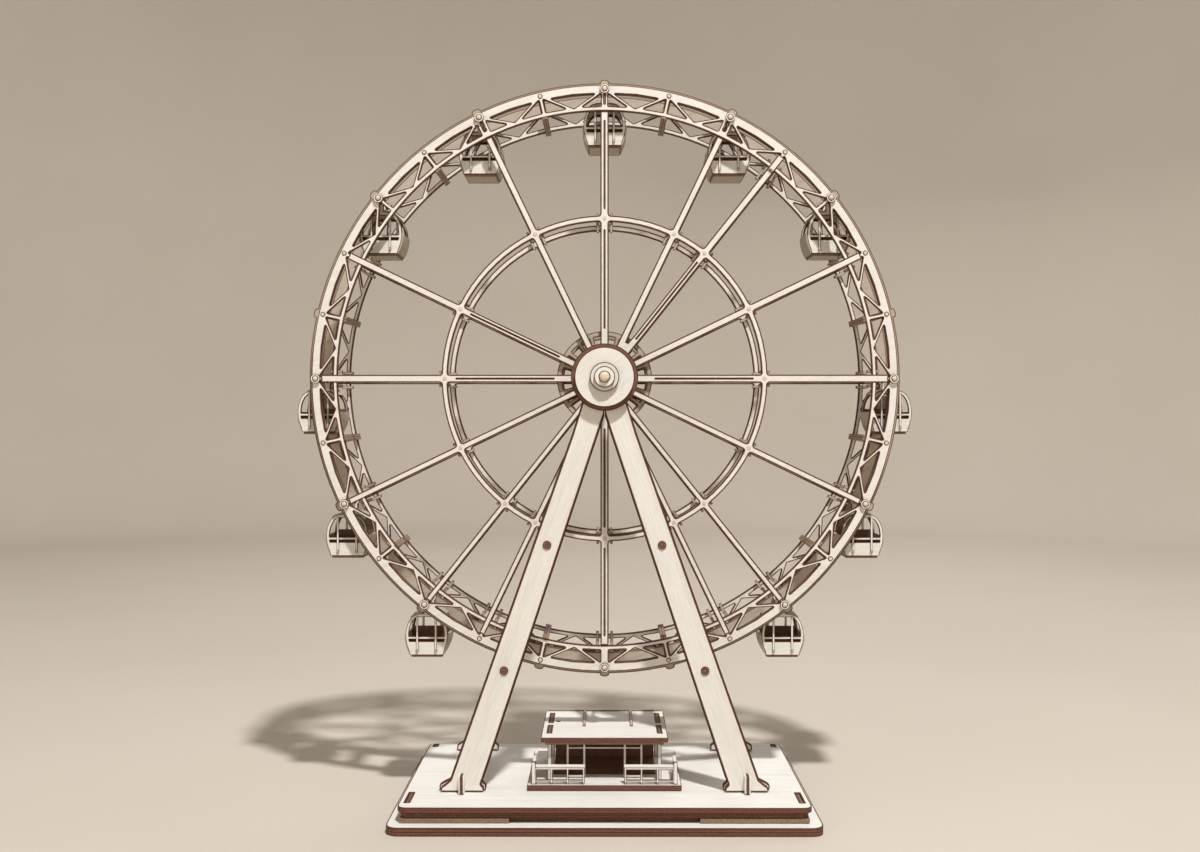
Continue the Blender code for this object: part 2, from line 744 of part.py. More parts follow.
def make_station():
    floor = BASE_TOP + SEAM
    deck = floor + PLATFORM[2]
    add_object(
        "station_platform",
        box_mesh(
            "station_platform",
            PLATFORM,
            (0, PLATFORM_FRONT + PLATFORM[1] / 2, floor + PLATFORM[2] / 2),
        ),
        PALE,
    )
    roof_low = BASE_TOP + ROOF_TOP - ROOF[2]
    roof_middle = ROOF_FRONT + ROOF[1] / 2
    slots = [rectangle(ROOF_SLOT[0] / 2, ROOF_SLOT[1] / 2, (s * ROOF_SLOT_X, 0)) for s in (-1, 1)]
    roof = flat_plate(
        "station_roof", [rectangle(ROOF[0] / 2, ROOF[1] / 2)] + slots, ROOF[2], roof_low, PALE
    )
    roof.location.y = roof_middle
    under_low = roof_low - SEAM - ROOF_UNDER[2]
    under = box_mesh("station_roof_frame", ROOF_UNDER, (0, roof_middle, under_low + ROOF_UNDER[2] / 2))
    foot = deck + SEAM
    height = under_low + ROOF_UNDER[2] / 2 - foot
    posts = [
        box_mesh("post", (POST, POST, height), (sign * POST_X, y, foot + height / 2))
        for sign in (-1, 1)
        for y in (POST_FRONT, POST_BACK)
    ]
    add_object("station_roof_frame", combined("station_roof_frame", under, posts, "UNION"), WARM)
    wall_height = under_low - SEAM - foot
    make_front_frame(foot, wall_height)
    add_object(
        "station_back_wall",
        box_mesh(
            "station_back_wall",
            (2 * BACK_WALL_HALF, THIN_PLY, wall_height),
            (0, BACK_WALL_Y, foot + wall_height / 2),
        ),
        DARK,
    )
    make_railings(foot)


def make_front_frame(foot, height):
    """The front of the station: door and two side lights under a double lintel."""
    lintel = height * 0.8
    half = height / 2
    side_middle = (FRAME_HALF - FRAME_BAR + DOOR_HALF + FRAME_BAR) / 2
    side_half = (FRAME_HALF - 2 * FRAME_BAR - DOOR_HALF) / 2
    light_half = (lintel - FRAME_BAR) / 2
    outer = [
        (-FRAME_HALF, -half),
        (-DOOR_HALF, -half),
        (-DOOR_HALF, lintel - half),
        (DOOR_HALF, lintel - half),
        (DOOR_HALF, -half),
        (FRAME_HALF, -half),
        (FRAME_HALF, half),
        (-FRAME_HALF, half),
    ]
    lights = [
        rectangle(side_half, light_half, (sign * side_middle, FRAME_BAR + light_half - half))
        for sign in (-1, 1)
    ]
    mesh = upright_mesh("station_front_frame", [outer] + lights, FRAME_BAR)
    frame = add_object("station_front_frame", mesh, PALE)
    frame.location = (0, FRONT_FRAME_Y, foot + half)


def rail_outlines(length, bays):
    """A run of railing from its start at x 0: top rail, low rail and posts, as one sheet."""
    outlines = [[(0, 0), (length, 0), (length, RAIL_TOP), (0, RAIL_TOP)]]
    opening = (length - (bays + 1) * RAIL_BAR) / bays
    for index in range(bays):
        x = RAIL_BAR + index * (opening + RAIL_BAR) + opening / 2
        y = (RAIL_BAR + RAIL_TOP) / 2 - RAIL_BAR / 2
        outlines.append(rectangle(opening / 2, RAIL_TOP / 2 - RAIL_BAR, (x, y)))
    return outlines


def make_railings(foot):
    length = RAIL_OUTER_X - RAIL_INNER_X
    y = PLATFORM_FRONT + 2.4 * MM
    front = upright_mesh("rail_front", rail_outlines(length, 3), RAIL_THICK)
    front.transform(Matrix.Translation((RAIL_INNER_X, y, foot)))
    side = upright_mesh("rail_side", rail_outlines(RAIL_SIDE_LENGTH, 2), RAIL_THICK)
    side.transform(Matrix.Rotation(math.pi / 2, 4, "Z"))
    side.transform(Matrix.Translation((RAIL_OUTER_X - RAIL_THICK / 2, y - RAIL_THICK / 2, foot)))
    right = combined("station_railing_right", front, [side], "UNION")
    left = right.copy()
    left.transform(Matrix.Scale(-1, 4, Vector((1, 0, 0))))
    left.flip_normals()
    add_object("station_railing_right", right, PALE)
    add_object("station_railing_left", left, PALE)


make_base()
make_legs()
make_axle()
make_hub()
make_wheel()
make_cabins()
make_station()
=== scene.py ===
# %% [markdown]
# # A laser-cut plywood ferris wheel
# The object is a desk model cut from thin birch plywood by a laser and pressed together from flat
# pieces. The faces are pale and the cut edges are scorched brown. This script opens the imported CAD
# model as a fixed frame and builds every visible piece around it, at the size and place that the
# frame gives. Pieces are drawn in millimetres and scaled to metres when they are finished.

# %% Open the frame and keep its size
import json
import math
import random
import bpy
from mathutils import Matrix, Vector
from mathutils.geometry import delaunay_2d_cdt


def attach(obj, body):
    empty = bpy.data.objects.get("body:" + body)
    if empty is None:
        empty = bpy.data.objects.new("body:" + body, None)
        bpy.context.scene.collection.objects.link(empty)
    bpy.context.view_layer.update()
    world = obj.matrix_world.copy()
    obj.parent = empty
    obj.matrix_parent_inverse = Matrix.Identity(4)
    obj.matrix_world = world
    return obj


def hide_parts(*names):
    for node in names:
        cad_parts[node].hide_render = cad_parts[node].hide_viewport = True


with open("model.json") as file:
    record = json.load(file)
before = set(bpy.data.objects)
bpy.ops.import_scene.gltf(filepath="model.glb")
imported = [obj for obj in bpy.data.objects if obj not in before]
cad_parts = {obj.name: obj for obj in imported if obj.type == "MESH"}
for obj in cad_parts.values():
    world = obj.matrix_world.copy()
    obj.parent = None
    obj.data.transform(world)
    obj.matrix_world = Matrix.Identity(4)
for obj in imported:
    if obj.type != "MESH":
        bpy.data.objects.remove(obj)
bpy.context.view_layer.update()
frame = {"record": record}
MM = 0.001

# %% [markdown]
# ## The camera
# The photograph looks straight at the wheel from about three quarters of a metre, a little lower
# than the hub, so the base is seen from above and the highest cabins from below. A long lens from
# far away would flatten that. The place and the lens were worked out from how fast the near and far
# legs shrink, so the camera stands where the photograph was taken from.

# %% Camera
CAMERA_PLACE = (0.0, -0.765, 0.2245)
FOCAL_LENGTH = 39.0
LOOK_DOWN = 0.48
LOOK_LEFT = 0.2
scene = bpy.context.scene
lens = bpy.data.cameras.new("camera")
lens.lens = FOCAL_LENGTH
lens.sensor_width = 36.0
camera = bpy.data.objects.new("camera", lens)
scene.collection.objects.link(camera)
camera.location = CAMERA_PLACE
camera.rotation_euler = (math.radians(90 - LOOK_DOWN), 0.0, math.radians(LOOK_LEFT))
scene.camera = camera
print("camera", tuple(round(v, 3) for v in camera.location), "lens", lens.lens)

# %% [markdown]
# ## Where the moving pieces turn
# The hub and the cabins' pivots are already in the record as joints. Reading them there, instead of
# typing them again, means that every drawing is made round the same centres as the motion.

# %% Centres from the record
joints = {joint["name"]: joint for joint in frame["record"]["behaviour"]["joints"]}
HUB_X, WHEEL_Y, HUB_Z = (v / MM for v in joints["wheel_spin"]["pos_m"])
BAYS = 28
BAY = 2 * math.pi / BAYS
PIVOT = 167.1
CABINS = {}
for name, joint in joints.items():
    if name.endswith("_swing"):
        x, y, z = (v / MM for v in joint["pos_m"])
        bay = round(math.atan2(x - HUB_X, z - HUB_Z) / BAY) % BAYS
        CABINS[name[: -len("_swing")]] = (bay, x, z)
print("hub", HUB_X, WHEEL_Y, HUB_Z, "cabins", {n: c[0] for n, c in CABINS.items()})

# %% [markdown]
# ## Drawing outlines
# A laser cutter follows flat outlines, so the model is drawn the same way: lists of points for the
# outside of a piece and for the openings in it. The angle on the wheel runs clockwise from the top.
# A sharp inside corner looks wrong and would crack, so `eased` rounds every corner of an outline.

# %% Outline helpers
def polar(radius, angle):
    """A point on the wheel's drawing, seen from the front."""
    return (radius * math.sin(angle), radius * math.cos(angle))


def arc(radius, start, stop, steps, centre=(0.0, 0.0)):
    points = []
    for step in range(steps + 1):
        x, z = polar(radius, start + (stop - start) * step / steps)
        points.append((x + centre[0], z + centre[1]))
    return points


def circle(radius, steps=32, centre=(0.0, 0.0)):
    return arc(radius, 0.0, 2 * math.pi, steps, centre)[:-1]


def box(x0, y0, x1, y1):
    return [(x0, y0), (x1, y0), (x1, y1), (x0, y1)]


def eased(points, radius, steps=3):
    """The outline with its corners rounded, as far as the neighbouring edges allow."""
    rounded = []
    for index, point in enumerate(points):
        corner = Vector(point)
        back = Vector(points[index - 1]) - corner
        onward = Vector(points[(index + 1) % len(points)]) - corner
        turn = math.pi - back.angle(onward)
        if turn < 0.42 or radius <= 0:
            rounded.append(tuple(corner))
            continue
        reach = min(radius * math.tan(turn / 2), 0.45 * back.length, 0.45 * onward.length)
        start = corner + back.normalized() * reach
        stop = corner + onward.normalized() * reach
        for step in range(steps + 1):
            t = step / steps
            middle = start.lerp(corner, t).lerp(corner.lerp(stop, t), t)
            rounded.append(tuple(middle))
    return rounded


def mirrored(points):
    return [(-x, z) for x, z in reversed(points)]


def turned_way(points, anticlockwise):
    area = sum(a[0] * b[1] - b[0] * a[1] for a, b in zip(points, points[1:] + points[:1]))
    return list(points) if (area > 0) == anticlockwise else list(reversed(points))


print("a 2 mm square with 0.5 mm corners has", len(eased(box(0, 0, 2, 2), 0.5)), "points")

# %% [markdown]
# ## From outline to plywood
# A drawing is flat, so each one needs to be told where it stands: which way its two directions and
# its thickness point on the model. A matrix holds that. Modelling every plate in place by hand would
# work too, but then a change to a drawing would have to be made once for the front and once more for
# the back.

# %% Places for a flat drawing
def placed(across, along, through, origin=(0.0, 0.0, 0.0)):
    """Where a flat drawing goes: its two directions, its thickness and its corner."""
    matrix = Matrix((across, along, through)).transposed().to_4x4()
    matrix.translation = origin
    return matrix


def standing(front_y, x=0.0, z=0.0):
    """A drawing seen from the front, with its front face at a depth y."""
    return placed((1, 0, 0), (0, 0, 1), (0, 1, 0), (x, front_y, z))


def lying(low_z):
    """A drawing seen from above, with its underside at a height."""
    return placed((1, 0, 0), (0, 1, 0), (0, 0, 1), (0, 0, low_z))


def on_side(sign, near, thick):
    """The depth y where a sheet starts, in front of (-1) or behind (1) the wheel's middle."""
    return WHEEL_Y + (near if sign > 0 else -near - thick)


print("a 3 mm sheet 18 mm from the middle starts at y", on_side(-1, 18.0, 3.0), on_side(1, 18.0, 3.0))

# %% [markdown]
# The laser leaves a smoked border that follows the cut. Moving every corner in by the same amount
# would fold the line over itself in tight places, so the distance shrinks there. The space between
# an outline and its openings is then filled with triangles by Blender's own triangulation, because
# a single face can't have holes.

# %% Borders and fillings
def inset(loop, depth):
    """A loop moved sideways into the wood, which lies on its left, but less where a corner is tight."""
    points = [Vector(point) for point in loop]
    runs = [after - here for here, after in zip(points, points[1:] + points[:1])]
    sides = []
    for came, goes in zip(runs[-1:] + runs[:-1], runs):
        came, goes = came.normalized(), goes.normalized()
        share = 1 / max(0.35, 1 + came.dot(goes))
        sides.append(Vector((-(came.y + goes.y) * share, (came.x + goes.x) * share)))
    depths = [depth] * len(points)
    for _ in range(24):
        moved = [point + side * d for point, side, d in zip(points, sides, depths)]
        onward = [after - here for here, after in zip(moved, moved[1:] + moved[:1])]
        tight = [i for i, run in enumerate(runs) if onward[i].dot(run) < 0.3 * run.length_squared]
        if not tight:
            break
        for index in tight:
            depths[index] *= 0.8
            depths[(index + 1) % len(points)] *= 0.8
    return [tuple(point) for point in moved]


def filled(loops):
    """Triangles between an outer loop and the holes in it."""
    points = [Vector(point) for loop in loops for point in loop]
    rings = []
    for loop in loops:
        start = rings[-1][-1] + 1 if rings else 0
        rings.append(list(range(start, start + len(loop))))
    result = delaunay_2d_cdt(points, [], rings, 2, 1e-6)
    if len(result[0]) != len(points):
        raise ValueError("outlines touch: %d points became %d" % (len(points), len(result[0])))
    source = [origin[0] for origin in result[3]]
    return [tuple(source[corner] for corner in face) for face in result[2]]


washer = [circle(9.0, 16), turned_way(circle(4.0, 16), False)]
print("a washer's face is filled with", len(filled(washer)), "triangles")

# %% [markdown]
# ## The bench
# The bench holds one piece while it is made. Every point keeps three notes for the finish: `sheet`
# is its place on the plywood sheet with its grain, `ply` runs through the thickness from -0.5 to 0.5,
# and `char` says how burnt the place is; inside a cabin it also carries painted shade. No
# two pieces come from the same place on the sheet, so each starts at a random spot, drawn from seeded
# dice that give the same spots every time.

# %% The joiner's bench
SHEET_REACH = 400
grain_dice = random.Random(7)


def place_on_sheet():
    return [grain_dice.uniform(-SHEET_REACH, SHEET_REACH) for _ in range(3)]


class Bench:
    """A piece while it is being made: points, faces and what the finish needs to know."""

    def __init__(self):
        self.points = []
        self.faces = []
        self.sheet = []
        self.ply = []
        self.char = []

    def ring(self, points, sheet, ply, char):
        first = len(self.points)
        self.points += points
        self.sheet += sheet
        self.ply += [ply] * len(points)
        self.char += [char] * len(points)
        return first

    def face(self, corners, flip):
        self.faces.append(tuple(reversed(corners)) if flip else tuple(corners))


print("an empty bench holds", len(Bench().points), "points")

# %% [markdown]
# A cut sheet is its outline laid down six times: the inner line of the smoked border, the softened
# edge and the wall, first for the lower face and then for the upper one. Extruding alone would give
# only the two lines of the wall, and the burn would have nowhere to fade. A bent or planed piece has
# no burnt edge, so there the notes say clean wood all over.

# %% Cutting a sheet
ARRIS = 0.12
SMOKE = 0.85
FACE_PLY = 0.5
WALL_PLY = 0.44


def cut_sheet(bench, outlines, thick, place, grain=0.0, smoke=SMOKE, burnt=True):
    """Cut one sheet: the first outline is its edge and the others are openings."""
    loops = [turned_way(loop, index == 0) for index, loop in enumerate(outlines)]
    borders = smoke if isinstance(smoke, list) else [smoke] * len(loops)
    flip = place.to_3x3().determinant() < 0
    shift = place_on_sheet()
    cos, sin = math.cos(grain), math.sin(grain)
    levels = [
        (None, 0.0, -FACE_PLY, 0.0),
        (ARRIS, 0.0, -FACE_PLY, 1.0),
        (0.0, ARRIS, -WALL_PLY, 1.0),
        (0.0, thick - ARRIS, WALL_PLY, 1.0),
        (ARRIS, thick, FACE_PLY, 1.0),
        (None, thick, FACE_PLY, 0.0),
    ]
    if not burnt:
        levels = [(depth, height, FACE_PLY, 0.0) for depth, height, _, _ in levels]
    starts = []
    drawn = []
    for depth, height, ply, char in levels:
        row = []
        drawn.append([])
        for loop, border in zip(loops, borders):
            way_in = border if depth is None else depth
            moved = inset(loop, way_in) if way_in else loop
            drawn[-1].append(moved)
            spots = [place @ Vector((u, v, height)) for u, v in moved]
            sheet = [
                (u * cos + v * sin + shift[0], v * cos - u * sin + shift[1], height + shift[2])
                for u, v in moved
            ]
            row.append(bench.ring(spots, sheet, ply, char))
        starts.append(row)
    for low, high in zip(starts, starts[1:]):
        for loop, a, b in zip(loops, low, high):
            count = len(loop)
            for i in range(count):
                j = (i + 1) % count
                bench.face((a + i, a + j, b + j, b + i), flip)
    for row, shape, top in ((starts[0], drawn[0], False), (starts[-1], drawn[-1], True)):
        index = [start + i for start, loop in zip(row, loops) for i in range(len(loop))]
        for triangle in filled(shape):
            a, b, c = (index[corner] for corner in triangle)
            bench.face((a, b, c) if top else (c, b, a), flip)
    return bench


print("softened edge", ARRIS, "mm, usual smoked border", SMOKE, "mm")

# %% [markdown]
# Dowels, pins and sleeves are turned, not cut, so they get a helper of their own: a profile of
# (radius, height, burn) is swept round an axis. A radius of zero closes the end with a single point,
# and a closed profile makes a tube.

# %% Turning a dowel
def turn_dowel(bench, profile, place, steps=24, closed=False):
    """Turn a profile of (radius, height, burn) about the third direction of its place."""
    flip = place.to_3x3().determinant() < 0
    shift = place_on_sheet()
    rings = []
    for radius, height, char in profile:
        count = steps if radius > 1e-6 else 1
        spots = []
        sheet = []
        for step in range(count):
            angle = 2 * math.pi * step / steps
            u, v = radius * math.cos(angle), radius * math.sin(angle)
            spots.append(place @ Vector((u, v, height)))
            sheet.append((height + shift[0], u + shift[1], v + shift[2]))
        rings.append((bench.ring(spots, sheet, FACE_PLY, char), count))
    pairs = list(zip(rings, rings[1:]))
    if closed:
        pairs.append((rings[-1], rings[0]))
    for (a, many), (b, more) in pairs:
        for i in range(steps):
            j = (i + 1) % steps
            if many == 1:
                bench.face((a, b + j, b + i), flip)
            elif more == 1:
                bench.face((a + i, a + j, b), flip)
            else:
                bench.face((a + i, a + j, b + j, b + i), flip)
    return bench


# %% [markdown]
# When a piece is done it becomes a Blender object. It rides on the body that carries it, says which
# of the four finishes it has, and names the CAD nodes that it stands for, so they are hidden. The
# three notes go with the mesh as attributes, which the finish reads.

# %% Finishing a piece
SHARP_FROM = 0.6


def finish_piece(bench, name, wood, body, *replaced):
    """Make the object, ride it on its body and hide the CAD nodes it stands for."""
    mesh = bpy.data.meshes.new(name)
    mesh.from_pydata([point * MM for point in bench.points], [], bench.faces)
    where = mesh.attributes.new("sheet", "FLOAT_VECTOR", "POINT")
    where.data.foreach_set("vector", [value for spot in bench.sheet for value in spot])
    for label, values in (("ply", bench.ply), ("char", bench.char)):
        mesh.attributes.new(label, "FLOAT", "POINT").data.foreach_set("value", values)
    mesh.polygons.foreach_set("use_smooth", [True] * len(mesh.polygons))
    mesh.set_sharp_from_angle(angle=SHARP_FROM)
    mesh.materials.append(FINISHES[wood])
    mesh.update()
    piece = bpy.data.objects.new(name, mesh)
    scene.collection.objects.link(piece)
    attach(piece, body)
    if replaced:
        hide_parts(*replaced)
    print(name, len(mesh.vertices), "points")


print("edges sharper than", round(math.degrees(SHARP_FROM)), "degrees are kept crisp")

# %% [markdown]
# ## The finishes
# All pieces are birch plywood, but the photograph shows it in three tones: clean pale faces, warmer
# pieces, most of them in shade, which take a darker, warmer copy of the pale wood that paints that
# shade, and pieces seen mostly by their burnt edges. A picture of real
# wood would fix the grain at one size and show seams, so the grain is worked out from noise. The
# helpers below each add one step to a finish: noise stretched along the grain, a ramp that turns a
# number into a colour, a sum, and a mix of two colours.

# %% Helpers for the finishes
def node(tree, kind, label="", **values):
    made = tree.nodes.new(kind)
    made.label = label
    for key, value in values.items():
        setattr(made, key, value)
    return made


def attribute(tree, name):
    return node(tree, "ShaderNodeAttribute", name, attribute_name=name)


def stretched_noise(tree, where, scale, detail, label, distortion=0.0):
    mapping = node(tree, "ShaderNodeMapping", label)
    mapping.inputs["Scale"].default_value = scale
    tree.links.new(where, mapping.inputs["Vector"])
    noise = node(tree, "ShaderNodeTexNoise", label)
    noise.inputs["Scale"].default_value = 1.0
    noise.inputs["Detail"].default_value = detail
    noise.inputs["Distortion"].default_value = distortion
    tree.links.new(mapping.outputs["Vector"], noise.inputs["Vector"])
    return noise.outputs["Fac"]


def ramp(tree, value, stops, label=""):
    made = node(tree, "ShaderNodeValToRGB", label)
    bar = made.color_ramp
    while len(bar.elements) < len(stops):
        bar.elements.new(0.5)
    for element, (position, color) in zip(bar.elements, stops):
        element.position = position
        element.color = (*color, 1.0) if isinstance(color, tuple) else (color, color, color, 1.0)
    tree.links.new(value, made.inputs["Fac"])
    return made.outputs["Color"]


def maths(tree, operation, first, second=None, clamp=False):
    made = node(tree, "ShaderNodeMath", operation=operation, use_clamp=clamp)
    for socket, value in zip(made.inputs, (first, second)):
        if value is None:
            continue
        if isinstance(value, (int, float)):
            socket.default_value = value
        else:
            tree.links.new(value, socket)
    return made.outputs["Value"]


def blend_colors(tree, kind, share, first, second):
    made = node(tree, "ShaderNodeMix", data_type="RGBA", blend_type=kind)
    for socket, value in ((made.inputs[0], share), (made.inputs[6], first), (made.inputs[7], second)):
        if isinstance(value, (int, float)):
            socket.default_value = value
        elif isinstance(value, tuple):
            socket.default_value = (*value, 1.0)
        else:
            tree.links.new(value, socket)
    return made.outputs[2]


def wood_tree(name, roughness):
    material = bpy.data.materials.new(name)
    material.use_nodes = True
    tree = material.node_tree
    shader = tree.nodes["Principled BSDF"]
    shader.inputs["Specular IOR Level"].default_value = 0.32
    shader.inputs["Roughness"].default_value = roughness
    return material, tree, shader


def bumped(tree, shader, height, strength, distance):
    bump = node(tree, "ShaderNodeBump")
    bump.inputs["Strength"].default_value = strength
    bump.inputs["Distance"].default_value = distance
    tree.links.new(height, bump.inputs["Height"])
    tree.links.new(bump.outputs["Normal"], shader.inputs["Normal"])


print("finish helpers: noise, ramp, sum and mix")

# %% [markdown]
# One recipe makes all the plywood. Veneer is drawn out along the grain, so its noise is stretched
# many times longer than it is wide. The laser leaves a border that fades from nearly black through
# reddish brown to a faint ochre, and the wall shows the plies as stripes with darker glue lines
# between them. Two noises break the border and the stripes up, because no real burn is even.

# %% Plywood finish
GRAIN = {
    "figure": ((0.011, 0.20, 0.20), 4.0, 0.35),
    "fibres": ((0.10, 3.2, 3.2), 3.0, 0.0),
    "pores": ((0.35, 5.5, 5.5), 1.0, 0.0),
    "clouds": ((0.05, 0.07, 0.07), 2.0, 0.0),
    "soot_and_shade": ((0.8, 0.8, 0.8), 3.0, 0.0),
    "laser streaks": ((1.9, 1.9, 1.1), 4.0, 0.0),
}


def plywood(name, light, dark, border, core, glue):
    """Veneer faces, a smoked border and burnt plies, from the three notes of a cut piece; the border's
    dark ramp also paints the shade inside the cabins.
    """
    material, tree, shader = wood_tree(name, 0.66)
    sheet = attribute(tree, "sheet").outputs["Vector"]
    ply = attribute(tree, "ply").outputs["Fac"]
    char = attribute(tree, "char").outputs["Fac"]
    figure, fibre, pores, cloud, soot_and_shade, streak = (
        stretched_noise(tree, sheet, scale, detail, label, distortion)
        for label, (scale, detail, distortion) in GRAIN.items()
    )
    face = ramp(tree, figure, ((0.30, dark), (0.52, light), (0.75, light)), "veneer")
    tint = ramp(tree, cloud, ((0.35, (1.0, 0.99, 0.975)), (0.65, (0.965, 0.965, 0.965))))
    face = blend_colors(tree, "MULTIPLY", 1.0, face, tint)
    threads = ramp(tree, fibre, ((0.30, 0.87), (0.62, 1.0)))
    face = blend_colors(tree, "MULTIPLY", 1.0, face, threads)
    dots = ramp(tree, pores, ((0.68, 1.0), (0.78, 0.80)))
    face = blend_colors(tree, "MULTIPLY", 1.0, face, dots)
    # Inside a cabin char is high, and this dark ramp paints shade there, not burn.
    uneven = maths(tree, "MULTIPLY", maths(tree, "SUBTRACT", soot_and_shade, 0.5), char)
    burn_and_shade = maths(tree, "ADD", char, uneven, clamp=True)
    ochre = tuple(a * b for a, b in zip(light, (0.62, 0.42, 0.29)))
    soot_and_shade_brown = tuple(0.6 * value for value in border)
    halo = ramp(tree, burn_and_shade, ((0.06, 0.0), (0.30, 1.0)))
    stain_and_shade = ramp(tree, burn_and_shade, ((0.08, ochre), (0.30, border), (0.90, soot_and_shade_brown)))
    face = blend_colors(tree, "MIX", halo, face, stain_and_shade)
    depth = maths(tree, "ABSOLUTE", ply)
    plies = ramp(
        tree,
        depth,
        ((0.0, glue), (0.035, glue), (0.09, core), (0.20, border), (0.37, border), (0.45, glue)),
        "plies",
    )
    scorch = ramp(tree, streak, ((0.32, 0.62), (0.66, 1.25)))
    edge = blend_colors(tree, "MULTIPLY", 1.0, plies, scorch)
    is_face = maths(tree, "GREATER_THAN", depth, 0.47)
    color = blend_colors(tree, "MIX", is_face, edge, face)
    tree.links.new(color, shader.inputs["Base Color"])
    raised = blend_colors(tree, "MIX", is_face, streak, fibre)
    bumped(tree, shader, raised, 0.35, 0.00012)
    return material


print("noises in the plywood:", ", ".join(GRAIN))

# %% [markdown]
# Dowels look like beech: no plies, fine fibres along their length and small dark flecks. The four
# finishes carry the slot names of the record. Each plywood takes a light and a dark tone and then
# the colours of its smoked border, its core plies and its glue lines.

# %% Dowel wood and the four finishes
def dowel_wood(name, light, dark, burnt):
    """A turned beech pin: fine fibres along it, darker where it is burnt."""
    material, tree, shader = wood_tree(name, 0.5)
    sheet = attribute(tree, "sheet").outputs["Vector"]
    char = attribute(tree, "char").outputs["Fac"]
    fibre = stretched_noise(tree, sheet, (0.25, 2.4, 2.4), 3.0, "fibres")
    fleck = stretched_noise(tree, sheet, (1.0, 6.0, 6.0), 1.0, "flecks")
    color = ramp(tree, fibre, ((0.32, dark), (0.62, light)))
    color = blend_colors(tree, "MULTIPLY", 1.0, color, ramp(tree, fleck, ((0.62, 1.0), (0.75, 0.72))))
    color = blend_colors(tree, "MIX", ramp(tree, char, ((0.25, 0.0), (0.8, 1.0))), color, burnt)
    tree.links.new(color, shader.inputs["Base Color"])
    bumped(tree, shader, fibre, 0.25, 0.0001)
    return material


BURNT_EDGE = ((0.135, 0.048, 0.027), (0.200, 0.092, 0.055), (0.040, 0.015, 0.010))
SHADED_TAN_EDGE = ((0.270, 0.165, 0.105), (0.370, 0.260, 0.175), (0.060, 0.024, 0.015))
FINISHES = {
    "pale_birch": plywood("pale_birch_plywood", (0.79, 0.760, 0.705), (0.745, 0.705, 0.64), *BURNT_EDGE),
    # warm_birch: a darker, warmer copy of the pale wood that paints the shade most warm pieces stand in.
    "warm_birch": plywood("warm_birch_plywood", (0.50, 0.43, 0.35), (0.43, 0.36, 0.285), *SHADED_TAN_EDGE),
    # dark_birch also serves as painted shade: station back wall and room floor, cabin linings, hub
    # slats.
    "dark_birch": plywood("dark_birch_plywood", (0.19, 0.095, 0.058), (0.13, 0.062, 0.038), *BURNT_EDGE),
    "dowel": dowel_wood("dowel_wood", (0.72, 0.61, 0.47), (0.60, 0.48, 0.34), (0.10, 0.04, 0.022)),
}
print("finishes", sorted(FINISHES))

# %% [markdown]
# ## The base
# The wheel stands on a stack of four layers. From the front only their edges show: a wide bottom
# plate, a set-back layer of two pale strips with a dark gap between them, a slightly wider layer
# and the top plate. Modelling one block with painted lines would lose the shadow gaps, so each
# layer is a sheet of its own. Narrow keyholes along the sides of the top plate hold the keys that
# lock the stack.

# %% Base plates
BOTTOM_THICK, LAYER_THICK, TOP_THICK = 4.6, 2.6, 2.9
STRIP_LOW, LAYER_LOW, TOP_LOW = 4.9, 7.8, 10.7


def rounded_plate(width, depth, radius=6.0):
    return eased(box(-width / 2, -depth / 2, width / 2, depth / 2), radius, 8)


bottom = cut_sheet(Bench(), [rounded_plate(235.2, 150.0, 8.5)], BOTTOM_THICK, lying(0.0))
finish_piece(bottom, "base_bottom", "pale_birch", "stand", "base_bottom_plate")
under = cut_sheet(Bench(), [rounded_plate(221.0, 135.0)], LAYER_THICK, lying(LAYER_LOW))
finish_piece(under, "base_middle_layer", "pale_birch", "stand", "base_under_plate")
KEYHOLES = [(x, y, half) for x in (-107.6, 107.6) for y, half in ((-50.0, 10.0), (63.0, 3.5))]
keyholes = [eased(box(x - 1.3, y - half, x + 1.3, y + half), 0.6) for x, y, half in KEYHOLES]
top = cut_sheet(Bench(), [rounded_plate(224.0, 138.0)] + keyholes, TOP_THICK, lying(TOP_LOW))
finish_piece(top, "base_top", "pale_birch", "stand", "base_top_plate")
keys = Bench()
for x, y, half in KEYHOLES:
    key = box(x - 1.0, y - half + 0.4, x + 1.0, y + half - 0.4)
    cut_sheet(keys, [key], TOP_THICK - 0.6, lying(TOP_LOW + 0.1), smoke=0.3)
finish_piece(keys, "base_keys", "dark_birch", "stand")
STRIP_X, STRIP_HALF = 81.0, 29.5
# The side strips take the warm copy of the wood, as painted shade in the set-back layer.
for side, sign in (("left", -1), ("right", 1)):
    outline = box(sign * STRIP_X - STRIP_HALF, -67.2, sign * STRIP_X + STRIP_HALF, 66.0)
    strip = cut_sheet(Bench(), [outline], LAYER_THICK, lying(STRIP_LOW))
    finish_piece(strip, "base_strip_" + side, "warm_birch", "stand", "base_spacer_" + side)
middle = cut_sheet(Bench(), [box(-51.2, -64.0, 51.2, 64.0)], LAYER_THICK, lying(STRIP_LOW))
finish_piece(middle, "base_strip_middle", "dark_birch", "stand", "base_spacer_middle")

# %% [markdown]
# ## The legs
# Each leg is two sheets glued face to face, which is why its edge shows a double brown line. The
# foot spreads into two curled toes, and the inner sheet is cut a little wider all round. A leg could
# be one thick slab, but then the edge would lose its middle glue line.

# %% Leg outline
DROP = 231.7
FOOT_X = 79.5
LEG_RISE = 232.0
HEAD_RADIUS = 9.0
AXLE_HOLE = 3.3
CENTRE_GAP = 0.15
LEAN = math.atan2(FOOT_X, 219.0)


def leg_side(height, sign, wider):
    """How far out a leg's edge is at a height over its foot."""
    share = 1 - height / LEG_RISE
    return FOOT_X * share + sign * (6.0 + 2.4 * share + wider) / math.cos(LEAN)


